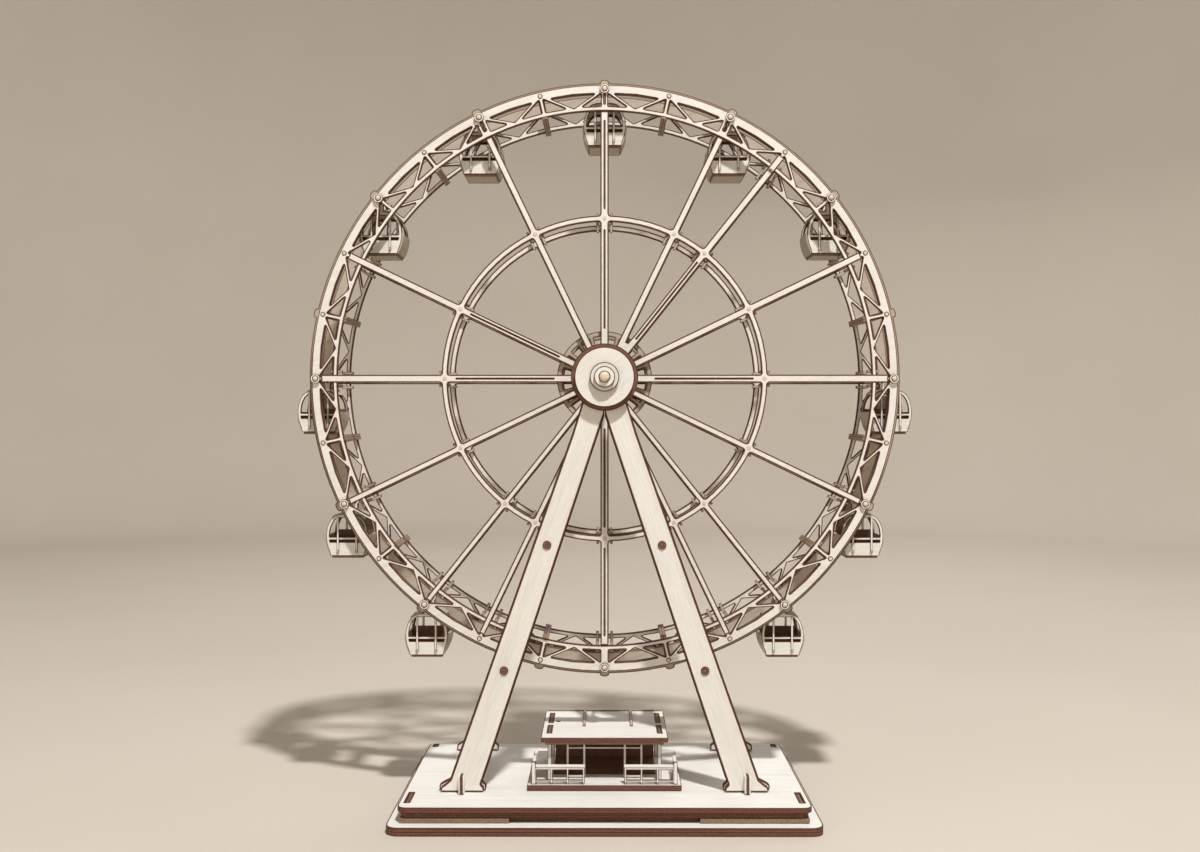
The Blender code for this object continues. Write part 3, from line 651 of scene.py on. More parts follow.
def leg_outline(toe, toe_height, curl, wider):
    """The right leg about the axle: head, outer edge, toes, inner edge and half of the axle's hole."""
    ground = -DROP
    head = [(CENTRE_GAP, HEAD_RADIUS)] + arc(HEAD_RADIUS, 0.25, math.pi / 2 - LEAN + 0.6, 10)
    outer = [(leg_side(z, 1, wider), ground + z) for z in (200.0, 6.6)]
    foot = [
        (FOOT_X + toe - curl, ground + toe_height * 1.15),
        (FOOT_X + toe, ground + toe_height * 0.8),
        (FOOT_X + toe, ground),
        (FOOT_X - toe, ground),
        (FOOT_X - toe, ground + toe_height * 0.8),
        (FOOT_X - toe + curl, ground + toe_height * 1.25),
    ]
    rise = 200.0
    while leg_side(rise, -1, wider) > 0.4:
        rise += 0.25
    inner = [(leg_side(7.4, -1, wider), ground + 7.4), (CENTRE_GAP, ground + rise)]
    hole = arc(AXLE_HOLE, math.pi - 0.05, 0.05, 10)
    return eased(head + outer + foot + inner, 1.7, 4) + hole


outer_sheet = leg_outline(12.0, 3.2, 1.9, 0.0)
inner_sheet = leg_outline(13.1, 4.2, 2.3, 0.55)
print("leg outline", len(outer_sheet), "points, from", outer_sheet[0])

# %% [markdown]
# The same two drawings make all four legs: mirrored for the left side and stood at both depths. A
# small upright brace crosses each foot from front to back, with pale cheeks on a dark heart, and two
# round pegs pin the sheets together. The grain runs along each leg, as it must for strength.

# %% Legs, pegs and braces
LEG_SHEET = 2.97
PEG_HEIGHTS = (138.4, 68.2)


def pin_spots(hand):
    return [(hand * (FOOT_X * (1 - height / LEG_RISE)), height - LEG_RISE) for height in PEG_HEIGHTS]


for side, sign in (("front", -1), ("back", 1)):
    for hand_name, hand in (("left", -1), ("right", 1)):
        leg = Bench()
        for near, sheet_outline in ((45.03, outer_sheet), (42.0, inner_sheet)):
            outline = sheet_outline if hand > 0 else mirrored(sheet_outline)
            place = standing(on_side(sign, near, LEG_SHEET), 0.0, HUB_Z)
            cut_sheet(leg, [outline], LEG_SHEET, place, math.pi / 2 + hand * LEAN, 1.0)
        name = "%s_leg_%s" % (side, hand_name)
        finish_piece(leg, name + "_sheets", "pale_birch", "stand", name)
        cheeks, heart = Bench(), Bench()
        for bench, half, front, high in ((cheeks, 1.6, 36.9, 10.1), (heart, 0.8, 36.6, 10.4)):
            origin = (hand * FOOT_X - half, WHEEL_Y, HUB_Z - DROP)
            run = placed((0, sign, 0), (0, 0, 1), (1, 0, 0), origin)
            outline = eased(box(front, 0.0, 90.0 - front, high), 1.0)
            cut_sheet(bench, [outline], 2 * half, run, burnt=bench is heart)
        finish_piece(cheeks, name + "_brace", "pale_birch", "stand")
        finish_piece(heart, name + "_brace_core", "dark_birch", "stand")
        pegs = Bench()
        for x, z in pin_spots(hand):
            place = standing(on_side(sign, 47.4, 1.3), x, HUB_Z + z)
            cut_sheet(pegs, [circle(2.4, 20), circle(0.6, 8)], 1.3, place, smoke=0.6)
        finish_piece(pegs, name + "_pegs", "dark_birch", "stand")

# %% [markdown]
# ## The axle and its discs
# A stepped stack of discs closes each end of the axle: a large disc, a smaller one on top of it, two
# washers and the domed end of the dowel. Each step throws a small round shadow in the photograph.
# The discs are cut from sheet, so they get the same smoked edge as the rest, while the dowel is
# turned from solid wood.

# %% Discs, washers and axle
DISCS = ("front_hub_disc", "back_hub_disc")
AXLE = ("axle",)
for name, radius, hole, low, thick, smoke, wood, stands_for in (
    ("large_discs", 18.7, 3.0, 48.3, 2.7, 0.8, "dark_birch", DISCS),
    ("small_discs", 16.7, 3.0, 51.0, 2.7, 0.7, "pale_birch", DISCS),
    ("large_washers", 8.1, 2.85, 54.0, 2.2, 0.6, "pale_birch", AXLE),
    ("small_washers", 5.8, 2.85, 56.2, 2.0, 0.6, "pale_birch", AXLE),
):
    pair = Bench()
    for sign in (-1, 1):
        place = standing(on_side(sign, low, thick), 0.0, HUB_Z)
        cut_sheet(pair, [circle(radius, 72), circle(hole, 24)], thick, place, 0.6, smoke)
    finish_piece(pair, name, wood, "stand", *stands_for)
AXLE_END = 60.6
AXLE_RADIUS = 2.8
half = [(AXLE_RADIUS, 57.0, 1.0), (AXLE_RADIUS, 58.3, 1.0), (AXLE_RADIUS, AXLE_END - 1.7, 0.0)]
half += [(2.62, AXLE_END - 0.9, 0.0), (2.1, AXLE_END - 0.35, 0.0), (1.2, AXLE_END - 0.06, 0.0)]
half.append((0.0, AXLE_END, 0.0))
profile = [(radius, -height, char) for radius, height, char in reversed(half)] + half
axle = turn_dowel(Bench(), profile, standing(WHEEL_Y, 0.0, HUB_Z), 32)
finish_piece(axle, "axle_dowel", "dowel", "stand", "axle")

# %% [markdown]
# ## The wheel's sheets
# Each side of the wheel is three sheets: a truss plate with three openings in every bay, a spoke
# plate whose arms reach over the truss to its outer chord, and a narrower band behind them with
# small tabs on its edge. Drawing every bar as its own stick would leave seams at each joint. A laser
# cuts openings out of one sheet instead, so the openings are what is drawn here, each with rounded
# corners.

# %% Drawing a truss bay
OUTER = 169.5
CROWN = 164.8
CHORD_OUT = 157.3
CHORD_IN = 154.6
DIAGONAL_HALF = 0.88
STRUT_HALF = {0: 2.0, 2: 2.8, 26: 2.8, 14: 2.3}
SPOKES = (0, 2, 3, 5, 7, 9, 11, 12, 14, 16, 17, 19, 21, 23, 26)
SLOTTED = (0, 3, 7, 14, 21, 23)
SLOTTED_STRUTS = (0, 2, 26)
TIES = (1, 3, 6, 8, 10, 13, 15, 18, 20, 22, 25, 27)
TABS = (0, 2, 4, 6, 9, 11, 13, 14, 15, 17, 19, 22, 24, 26)
PIVOT_BAYS = [spot[0] for spot in CABINS.values()] + [14]


def crossing(first, second):
    """Where two straight lines, each through two points, cross."""
    (x1, y1), (x2, y2) = first
    (x3, y3), (x4, y4) = second
    across = (x1 - x2) * (y3 - y4) - (y1 - y2) * (x3 - x4)
    a = x1 * y2 - y1 * x2
    b = x3 * y4 - y3 * x4
    return ((a * (x3 - x4) - (x1 - x2) * b) / across, (a * (y3 - y4) - (y1 - y2) * b) / across)


def beside(line, distance):
    (x1, y1), (x2, y2) = line
    length = math.hypot(x2 - x1, y2 - y1)
    nx, ny = -(y2 - y1) / length * distance, (x2 - x1) / length * distance
    return ((x1 + nx, y1 + ny), (x2 + nx, y2 + ny))


def strut_half(bay):
    return STRUT_HALF.get(bay % BAYS, 1.1)


def chord(radius, start, stop):
    return (polar(radius, start), polar(radius, stop))


def bay_openings(bay):
    """The openings beside the struts and diagonals of one bay."""
    start, half, stop = bay * BAY, (bay + 0.5) * BAY, (bay + 1) * BAY
    foot = polar(CHORD_OUT - 1.5, half)
    first = (polar(PIVOT, start), foot)
    second = (polar(PIVOT, stop), foot)
    strut_a = beside((polar(PIVOT, start), polar(10, start)), strut_half(bay))
    strut_b = beside((polar(PIVOT, stop), polar(10, stop)), -strut_half(bay + 1))
    floor_a, floor_b = chord(CHORD_OUT, start, half), chord(CHORD_OUT, half, stop)
    roof_a, roof_b = chord(CROWN, start, half), chord(CROWN, half, stop)
    low_a, low_b = beside(first, -DIAGONAL_HALF), beside(second, DIAGONAL_HALF)
    high_a, high_b = beside(first, DIAGONAL_HALF), beside(second, -DIAGONAL_HALF)
    left = [crossing(strut_a, low_a), crossing(low_a, floor_a), crossing(floor_a, strut_a)]
    right = [crossing(strut_b, low_b), crossing(low_b, floor_b), crossing(floor_b, strut_b)]
    middle = [crossing(roof_a, high_a), polar(CROWN, half), crossing(roof_b, high_b)]
    middle.append(crossing(high_a, high_b))
    return [eased(left, 0.6), eased(middle, 0.5), eased(right, 0.6)]


def radial_box(bay, start, stop, left, right):
    """A box that lies along a spoke, between two radii and two distances from its middle line."""
    sin, cos = math.sin(bay * BAY), math.cos(bay * BAY)
    corners = ((start, left), (stop, left), (stop, right), (start, right))
    return [(r * sin + s * cos, r * cos - s * sin) for r, s in corners]


def radial_slot(bay, start, stop, width):
    return eased(radial_box(bay, start, stop, -width / 2, width / 2), width / 2, 3)


PIN_HOLE = 1.3
truss = [circle(OUTER, 6 * BAYS), circle(CHORD_IN, 6 * BAYS)]
truss_smoke = [0.6, 0.8]
for bay in range(BAYS):
    truss += bay_openings(bay)
    truss_smoke += [0.7] * 3
    truss.append(circle(PIN_HOLE, 14, polar(PIVOT, bay * BAY)))
    truss_smoke.append(0.2)
for bay in SLOTTED_STRUTS:
    truss.append(radial_slot(bay, 158.4, 164.2, 0.9 if bay == 0 else 2.0))
    truss_smoke.append(0.5)
print("truss plate has", len(truss) - 1, "openings")

# %% [markdown]
# The spoke plate is a star with a ring half-way along its arms. Six arms carry a long narrow slot
# with a dark spline pressed into it, which shows as a dark line. The arms end under the pivots,
# except for the bottom one and the three at the top, which stop at the inner chord while a strut of
# the truss goes on.

# %% Drawing the spokes
SPOKE_HALF = {
    0: 2.4, 2: 2.0, 3: 2.1, 5: 2.1, 7: 2.3, 9: 1.85, 11: 1.7, 12: 1.7, 14: 2.35, 16: 1.7, 17: 1.7,
    19: 1.85, 21: 2.25, 23: 2.1, 26: 2.0,
}
RING_OUT, RING_IN, HUB_DISC = 94.2, 90.8, 18.0


def spoke_edge(bay, radius):
    """The angle from a spoke's middle to its edge."""
    return math.asin(SPOKE_HALF[bay] / radius)


def spoke_tip(bay):
    return 154.3 if bay in SLOTTED_STRUTS + (14,) else 164.0


def gap_corner(first, second):
    """Where the near edges of two spokes meet."""
    edge_a = beside((polar(1, first * BAY), polar(99, first * BAY)), -SPOKE_HALF[first])
    edge_b = beside((polar(1, second * BAY), polar(99, second * BAY)), SPOKE_HALF[second])
    return crossing(edge_a, edge_b)


star = []
gaps = []
for bay, following in zip(SPOKES, SPOKES[1:] + SPOKES[:1]):
    angle = bay * BAY
    next_angle = following * BAY + (2 * math.pi if following < bay else 0.0)
    steps = max(2, round((next_angle - angle) / BAY * 3))
    tip = spoke_tip(bay)
    star += [polar(tip, angle - spoke_edge(bay, tip)), polar(tip, angle + spoke_edge(bay, tip))]
    start, stop = angle + spoke_edge(bay, RING_OUT), next_angle - spoke_edge(following, RING_OUT)
    star += arc(RING_OUT, start, stop, steps)
    start, stop = angle + spoke_edge(bay, RING_IN), next_angle - spoke_edge(following, RING_IN)
    inner = arc(RING_IN, stop, start, steps)
    corner = gap_corner(bay, following)
    if math.hypot(*corner) > HUB_DISC:
        near = [corner]
    else:
        start = angle + spoke_edge(bay, HUB_DISC)
        stop = next_angle - spoke_edge(following, HUB_DISC)
        near = [polar(HUB_DISC, start), polar(HUB_DISC, stop)]
    gaps.append(eased(near + inner, 1.3))
spokes = [eased(star, 1.6, 4), circle(5.3, 28)] + gaps
spoke_smoke = [0.95] * len(spokes)
spoke_slots = [(bay, 29.0, 86.0) for bay in SLOTTED] + [(bay, 98.0, 149.0) for bay in (0, 14)]
for bay, start, stop in spoke_slots:
    spokes.append(radial_slot(bay, start, stop, 0.8))
spoke_smoke += [0.25] * (len(spokes) - len(spoke_smoke))
print("spoke plate has", len(spokes) - 1, "openings")

# %% [markdown]
# The band behind the truss carries the tabs. They stand only two millimetres proud and are rounded
# like low domes, as the photograph shows.

# %% Drawing the band
BAND_OUT, BAND_IN, TAB_OUT, TAB_HALF = 171.3, 164.9, 173.2, 2.8
TAB_STEPS = 8
band_edge = []
for bay in range(BAYS):
    angle = bay * BAY
    side = TAB_HALF / BAND_OUT
    tabbed = bay in TABS
    if tabbed:
        for step in range(TAB_STEPS + 1):
            sweep = math.pi * step / TAB_STEPS
            radius = BAND_OUT + (TAB_OUT - BAND_OUT) * math.sin(sweep) ** 0.7
            band_edge.append(polar(radius, angle - side * math.cos(sweep)))
    else:
        band_edge.append(polar(BAND_OUT, angle))
    first = 2 if tabbed else 1
    last = 4 if (bay + 1) % BAYS in TABS else 5
    band_edge += [polar(BAND_OUT, angle + BAY * k / 6) for k in range(first, last + 1)]
band = [band_edge, circle(BAND_IN, 6 * BAYS)]
print("band edge has", len(band_edge), "points")

# %% [markdown]
# Both sides of the wheel use the same three drawings. The spokes stand a quarter of a millimetre
# proud of the truss, so the arms show in front of the chords they cross, and the band lies behind
# both in the warm copy of the wood, which paints the shade behind the truss. Its smoked edge is what
# frames the wheel.

# %% Cut the wheel's sheets
for side, sign in (("front", -1), ("back", 1)):
    for name, wood, node_name, outlines, near, far, smoke in (
        ("truss", "pale_birch", "rim", truss, 18.0, 20.75, truss_smoke),
        ("spokes", "pale_birch", "spokes", spokes, 18.0, 21.0, spoke_smoke),
        ("band", "warm_birch", "rim_band", band, 14.7, 17.7, [0.9, 0.8]),
    ):
        place = standing(on_side(sign, near, far - near), 0.0, HUB_Z)
        plate = cut_sheet(Bench(), outlines, far - near, place, grain=0.35, smoke=smoke)
        finish_piece(plate, "%s_%s" % (side, name), wood, "wheel", "%s_%s" % (side, node_name))
    splines = Bench()
    place = standing(on_side(sign, 18.5, 2.0), 0.0, HUB_Z)
    for bay, start, stop in spoke_slots:
        outline = radial_slot(bay, start + 0.1, stop - 0.1, 0.86)
        cut_sheet(splines, [outline], 2.0, place, bay * BAY, 0.2)
    finish_piece(splines, side + "_spoke_splines", "dark_birch", "wheel")

# %% [markdown]
# ## What holds the two sides apart
# Twelve cross-ties run from the front truss to the back one between the cabins. They are seen edge
# on as short brown bars, brown from their burnt edges and from the warm copy of the wood, which paints
# the shade between the rims, and their lugs show inside the chords. Small cheek blocks stiffen the
# spokes where they cross the middle ring and the inner chord, and take the same painted shade. All of
# them are plain cut strips, so they are cut, not sculpted.

# %% Ties and cheek blocks
TIE_THICK = 3.4


def radial_place(angle, offset):
    """A drawing with its first direction along the radius and its second along the axle."""
    out = Vector((math.sin(angle), 0.0, math.cos(angle)))
    side = Vector((math.cos(angle), 0.0, -math.sin(angle)))
    return placed(out, (0, 1, 0), side, Vector((0.0, WHEEL_Y, HUB_Z)) + side * offset)


tie_outline = [
    (152.8, -21.9), (154.5, -21.9), (154.5, -17.7), (164.4, -17.7), (164.4, 17.7), (154.5, 17.7),
    (154.5, 21.9), (152.8, 21.9),
]
for index, bay in enumerate(TIES, 1):
    place = radial_place(bay * BAY, -TIE_THICK / 2)
    tie = cut_sheet(Bench(), [eased(tie_outline, 0.7)], TIE_THICK, place, grain=math.pi / 2)
    finish_piece(tie, "cross_tie_%02d" % index, "warm_birch", "wheel", "rim_tie_%02d" % index)
cheeks = Bench()
for bay in SPOKES:
    blocks = [(89.4, 96.0, SPOKE_HALF[bay] + 0.9, 1.5)]
    if bay not in SLOTTED_STRUTS:
        blocks.append((152.4, 159.0, 3.4, 1.7))
    for start, stop, beside_it, width in blocks:
        for hand in (-1, 1):
            outline = radial_box(bay, start, stop, hand * beside_it, hand * (beside_it + width))
            for sign in (1, -1):
                place = standing(on_side(sign, 14.9, 3.0), 0.0, HUB_Z)
                cut_sheet(cheeks, [eased(outline, 0.4)], 3.0, place, bay * BAY, 0.3)
finish_piece(cheeks, "spoke_cheeks", "warm_birch", "wheel")

# %% [markdown]
# ## Pins
# A small dowel end shows in the truss at each node without a cabin, and another where each spoke
# crosses the ring. They are tan with a dark line round them, because the rim of each pin is burnt.
# The missing cabin at the bottom leaves its pivot pin with two caps.

# %% Pins and the empty pivot
def pin_profile(low, high, radius):
    return [
        (0.0, low, 0.3), (radius * 0.8, low, 0.2), (radius, low + 0.25, 0.9), (radius, high - 0.25, 0.9),
        (radius * 0.8, high, 0.2), (0.0, high, 0.3),
    ]


pins = Bench()
for bay in range(BAYS):
    spots = [] if bay in PIVOT_BAYS else [polar(PIVOT, bay * BAY)]
    if bay in SPOKES:
        spots.append(polar(92.5, bay * BAY))
    for x, z in spots:
        for low, high in ((-21.25, -18.5), (18.5, 21.25)):
            turn_dowel(pins, pin_profile(low, high, 1.1), standing(WHEEL_Y, x, HUB_Z + z), 14)
finish_piece(pins, "wheel_pins", "dowel", "wheel")


def pivot_pin(bench_rod, bench_caps, x, z):
    """A dowel through both rims with a ring cap outside each."""
    tip = [(0.0, -23.4, 0.0), (0.8, -23.3, 0.0), (1.3, -22.95, 0.1), (1.5, -22.4, 0.8)]
    tip += [(1.5, -20.9, 1.0), (1.0, -20.8, 1.0)]
    whole = tip + [(radius, -height, char) for radius, height, char in reversed(tip)]
    turn_dowel(bench_rod, whole, standing(WHEEL_Y, x, z), 16)
    for sign in (-1, 1):
        place = standing(on_side(sign, 20.85, 1.65), x, z)
        cut_sheet(bench_caps, [circle(2.75, 28), circle(1.65, 16)], 1.65, place, smoke=0.3)


x, z = polar(PIVOT, 14 * BAY)
rod, caps = Bench(), Bench()
pivot_pin(rod, caps, x, HUB_Z + z)
finish_piece(rod, "bottom_pivot_dowel", "dowel", "wheel", "bottom_pivot_rod")
finish_piece(caps, "bottom_pivot_caps", "pale_birch", "wheel", "bottom_pivot_rod")

# %% [markdown]
# ## The hub drum
# Between the two spoke plates sits a drum: two rings with slots between their ribs, thin slats from
# one ring to the other and a sleeve that turns on the axle. From the front it shows as a pale ring
# with dark openings behind the spokes, so the openings are cut right through. The rings take the warm
# copy of the wood and the slats the dark one, as painted shade for the inside of the drum.

# %% Hub drum
RIBS = 20
DRUM_RADIUS, DRUM_BORE = 27.6, 5.0
WINDOW_OUT, WINDOW_IN = 24.6, 13.0
ring_windows = []
for rib in range(RIBS):
    start, stop = (rib + 0.16) * 2 * math.pi / RIBS, (rib + 0.84) * 2 * math.pi / RIBS
    ring_window = arc(WINDOW_OUT, start, stop, 3) + arc(WINDOW_IN, stop - 0.03, start + 0.03, 2)
    ring_windows.append(eased(ring_window, 0.5))
drum = Bench()
for sign in (-1, 1):
    place = standing(on_side(sign, 15.1, 2.6), 0.0, HUB_Z)
    cut_sheet(drum, [circle(DRUM_RADIUS, 80), circle(DRUM_BORE, 24)] + ring_windows, 2.6, place)
finish_piece(drum, "hub_rings", "warm_birch", "wheel", "wheel_hub")
slats = Bench()
for rib in range(RIBS):
    place = radial_place(rib * 2 * math.pi / RIBS, -1.1)
    cut_sheet(slats, [box(12.0, -15.0, 26.8, 15.0)], 2.2, place, grain=math.pi / 2, smoke=0.4)
finish_piece(slats, "hub_slats", "dark_birch", "wheel", "wheel_hub")
sleeve = [(3.1, -41.4, 1.0), (4.6, -41.4, 0.3), (5.0, -41.0, 0.0)]
sleeve += [(radius, -height, char) for radius, height, char in reversed(sleeve)]
collar = [(5.1, -15.0, 0.5), (10.0, -15.0, 0.5), (10.0, 15.0, 0.5), (5.1, 15.0, 0.5)]
core = Bench()
for profile in (sleeve, collar):
    turn_dowel(core, profile, standing(WHEEL_Y, 0.0, HUB_Z), 32, closed=True)
finish_piece(core, "hub_sleeve", "dowel", "wheel", "wheel_hub")

# %% [markdown]
# ## The cabins
# A cabin is a small basket: a front and a back plate that rise into hanging straps with eyes, an
# arched window in each, a thin skin bent along the sides and over the top, and a floor board. Its
# outline is a smooth curve through a few points down the right side, and everything else follows
# from that curve: moved in for the plates and windows, cut level for the skin, mirrored for the left.

# %% Cabin outlines
CABIN_SIDE = [
    (4.6, -6.0), (8.0, -7.2), (10.7, -10.2), (12.4, -14.4), (13.0, -19.2), (12.6, -23.6),
    (11.5, -27.4), (9.9, -31.0),
]


def smooth_curve(points, steps):
    """A smooth line through the points: each stretch leans towards the points before and after."""
    line = []
    for index in range(len(points) - 1):
        p0 = Vector(points[max(index - 1, 0)])
        p1, p2 = Vector(points[index]), Vector(points[index + 1])
        p3 = Vector(points[min(index + 2, len(points) - 1)])
        for step in range(steps):
            t = step / steps
            spot = 2 * p1 + (p2 - p0) * t + (2 * p0 - 5 * p1 + 4 * p2 - p3) * t * t
            spot += (3 * p1 - p0 - 3 * p2 + p3) * t ** 3
            line.append(tuple(spot / 2))
    return line + [tuple(points[-1])]


def moved_in(line, distance):
    """The right-hand side of a cabin moved towards its middle."""
    moved = []
    for index, (x, z) in enumerate(line):
        before, after = line[max(index - 1, 0)], line[min(index + 1, len(line) - 1)]
        run = Vector((after[0] - before[0], after[1] - before[1])).normalized()
        moved.append((x + run.y * distance, z - run.x * distance))
    return moved


def between(line, high, low):
    """The part of a falling line between two heights, with its ends cut level."""
    kept = []
    for (x0, z0), (x1, z1) in zip(line, line[1:]):
        for limit in (high, low):
            if z0 > limit > z1:
                kept.append((x0 + (x1 - x0) * (z0 - limit) / (z0 - z1), limit))
        if high >= z1 >= low:
            kept.append((x1, z1))
    return [b for a, b in zip([(1e3, 1e3)] + kept, kept) if math.dist(a, b) > 0.05]


side_line = smooth_curve(CABIN_SIDE, 3)
plate_line = moved_in(side_line, 0.75)
SILL, RAIL, SLOT_LOW, PANEL_LOW = -20.1, -21.6, -23.0, -30.9
frame_line = moved_in(side_line, 2.5)
strap = [(1.6, -6.6), (1.6, -2.2)] + arc(2.7, math.pi - 0.63, 0.0, 7)[1:]
half_plate = list(reversed(strap)) + [p for p in plate_line if p[1] > -29.5] + [(9.75, PANEL_LOW)]
cabin_plate = half_plate[1:] + mirrored(half_plate)[:-1]
half_window = between(frame_line, -8.2, SILL)
window = eased(half_window + mirrored(half_window), 0.8)
half_slot = between(frame_line, RAIL, SLOT_LOW)
slot = eased(half_slot + mirrored(half_slot), 0.3)
skin = moved_in(side_line, 1.3)
low_skin = between(side_line, -19.2, -30.9) + list(reversed(between(skin, -19.2, -30.9)))
roof_line = [p for p in side_line if p[1] > -9.6]
roof_under = [p for p in skin if p[1] > -9.6]
roof_skin = mirrored(roof_line) + roof_line + list(reversed(mirrored(roof_under) + roof_under))
half_back = between(skin, -17.4, -28.0)
back_shade_lining = half_back + mirrored(half_back)
half_strip = between(skin, -20.6, -24.0)
slot_shade_lining = half_strip + mirrored(half_strip)
print("cabin plate", len(cabin_plate), "window", len(window), "slot", len(slot))

# %% [markdown]
# Two slim bars stand in front of each window and end in tan pegs. The inside of every cabin lies in
# shade and looks nearly black, so points there get painted shade through the same dark ramp as the
# burn, and thin dark linings close the lower part of the back and the slot under the window rail as
# painted shade too. Each cabin starts at its own place on the sheet, so no two show the same grain.

# %% Build the cabins
PLATE_THICK = 2.2
BAR_X, BAR_HALF, BAR_PEG_HALF = 5.4, 0.62, 0.72
# How much painted shade the inside of a cabin gets.
INSIDE_SHADE = 0.9


def paint_cabin_shade(bench, x, z, soot_and_shade):
    """Paint shade on the inside of a cabin: every point nearer its middle than the outer surfaces."""
    for index, (px, py, pz) in enumerate(bench.points):
        if inside_cabin(px - x, py - WHEEL_Y, pz - z):
            bench.char[index] = max(bench.char[index], soot_and_shade)


def inside_cabin(x, y, z):
    reach = 0.0
    for (x0, z0), (x1, z1) in zip(skin, skin[1:]):
        if z0 >= z >= z1:
            reach = x0 + (x1 - x0) * (z0 - z) / max(z0 - z1, 1e-6)
    return abs(x) < reach + 0.15 and abs(y) < 11.2 and z > -30.7


for name, (_, x, z) in CABINS.items():
    plates, skins, shade_lining, bars, pegs, rod, caps = (Bench() for _ in range(7))
    for sign in (-1, 1):
        place = standing(on_side(sign, 10.8, PLATE_THICK), x, z)
        cut_sheet(plates, [cabin_plate, circle(1.2, 14), window, slot], PLATE_THICK, place, 0.1, 0.38)
    for low, peg_low in ((-13.75, -14.0), (12.95, 12.9)):
        for bar in (-BAR_X, BAR_X):
            outline = eased(box(bar - BAR_HALF, -28.4, bar + BAR_HALF, -8.2), 0.3)
            cut_sheet(bars, [outline], 0.8, standing(WHEEL_Y + low, x, z), math.pi / 2, 0.2)
            outline = eased(box(bar - BAR_PEG_HALF, -29.2, bar + BAR_PEG_HALF, -27.4), 0.5)
            cut_sheet(pegs, [outline], 1.1, standing(WHEEL_Y + peg_low, x, z), smoke=0.25)
    inside = standing(WHEEL_Y - 12.6, x, z)
    for outline in (low_skin, mirrored(low_skin), roof_skin):
        cut_sheet(skins, [outline], 25.2, inside, smoke=0.3, burnt=False)
    floor = placed((1, 0, 0), (0, 1, 0), (0, 0, 1), (x, WHEEL_Y, z - 32.2))
    cut_sheet(skins, [eased(box(-9.2, -11.8, 9.2, 11.8), 0.6)], 1.6, floor, smoke=0.5)
    # Thin dark sheets at the back and behind the slot: painted shade inside the cabin.
    cut_sheet(shade_lining, [back_shade_lining], 0.5, standing(WHEEL_Y + 10.2, x, z))
    cut_sheet(shade_lining, [slot_shade_lining], 0.5, standing(WHEEL_Y - 10.7, x, z))
    for bench in (plates, skins):
        paint_cabin_shade(bench, x, z, INSIDE_SHADE)
    finish_piece(plates, name + "_plates", "pale_birch", name, name)
    finish_piece(skins, name + "_skin", "warm_birch", name, name)
    finish_piece(shade_lining, name + "_lining", "dark_birch", name)
    finish_piece(bars, name + "_bars", "pale_birch", name)
    finish_piece(pegs, name + "_pegs", "warm_birch", name)
    pivot_pin(rod, caps, x, z)
    finish_piece(rod, name + "_rod", "dowel", name, name)
    finish_piece(caps, name + "_caps", "pale_birch", name, name)

# %% [markdown]
# ## The boarding station
# A small open hut stands under the wheel: a platform, corner posts and a roof of two sheets, with
# dark tenons pressed into the slots of the upper one. Two ribs and a lip lie on top of it. Everything
# here is one to three millimetres thick, so the smoked border takes up much of each bar.

# %% Station platform, roof and posts
DECK = 13.9
FOOT = 17.2
ROOF_LOW = 40.0
ROOF_THICK = 2.6
platform = cut_sheet(Bench(), [eased(box(-43.3, -38.0, 43.3, 37.0), 0.5)], 3.0, lying(DECK))
finish_piece(platform, "station_deck", "pale_birch", "stand", "station_platform")
roof_slots = []
tenons = Bench()
for hand in (-1, 1):
    for low, high in ((1.5, 27.0), (-23.5, -3.5)):
        x = hand * 31.6
        roof_slots.append(eased(box(x - 1.0, low, x + 1.0, high), 0.3))
        tenon = box(x - 0.9, low + 0.1, x + 0.9, high - 0.1)
        cut_sheet(tenons, [tenon], ROOF_THICK - 0.3, lying(ROOF_LOW + 0.1), smoke=0.3)
finish_piece(tenons, "station_roof_tenons", "dark_birch", "stand")
roof_slots.append(circle(0.95, 12, (-27.4, 5.6)))
roof_outline = eased(box(-35.9, -34.0, 35.9, 33.0), 0.5)
roof = cut_sheet(Bench(), [roof_outline] + roof_slots, ROOF_THICK, lying(ROOF_LOW))
finish_piece(roof, "station_roof_top", "pale_birch", "stand", "station_roof")
ridge = Bench()
for x in (-11.9, 15.8):
    cut_sheet(ridge, [box(x - 0.85, -7.0, x + 0.85, 33.0)], 1.1, lying(42.5), smoke=0.4)
cut_sheet(ridge, [box(-35.0, 32.0, 35.0, 33.2)], 0.8, lying(42.5), smoke=0.35)
finish_piece(ridge, "station_roof_ribs", "warm_birch", "stand")
# The ceiling takes the warm copy of the wood, as painted shade under the roof.
ceiling = cut_sheet(Bench(), [box(-33.5, -31.5, 33.5, 30.5)], 1.6, lying(38.1))
finish_piece(ceiling, "station_ceiling", "warm_birch", "stand", "station_roof_frame")
posts = Bench()
for x in (-31.2, 31.2):
    for y in (-28.6, 23.9):
        cut_sheet(posts, [box(x - 1.1, FOOT, x + 1.1, 38.0)], 2.2, standing(y), math.pi / 2, 0.3)
finish_piece(posts, "station_posts", "pale_birch", "stand", "station_roof_frame")

# %% [markdown]
# The front is one sheet: a doorway open at the bottom, a light on each side of it and three slits
# that split the lintel in two. It is cut like the wheel, from one outline with openings. The back
# wall and the floor of the room are dark boards of painted shade, because hardly any light falls on
# them; the thin floor board is there only to paint that shade, and the wall runs out nearly to the
# corner posts, which paints the whole space under the roof dark.

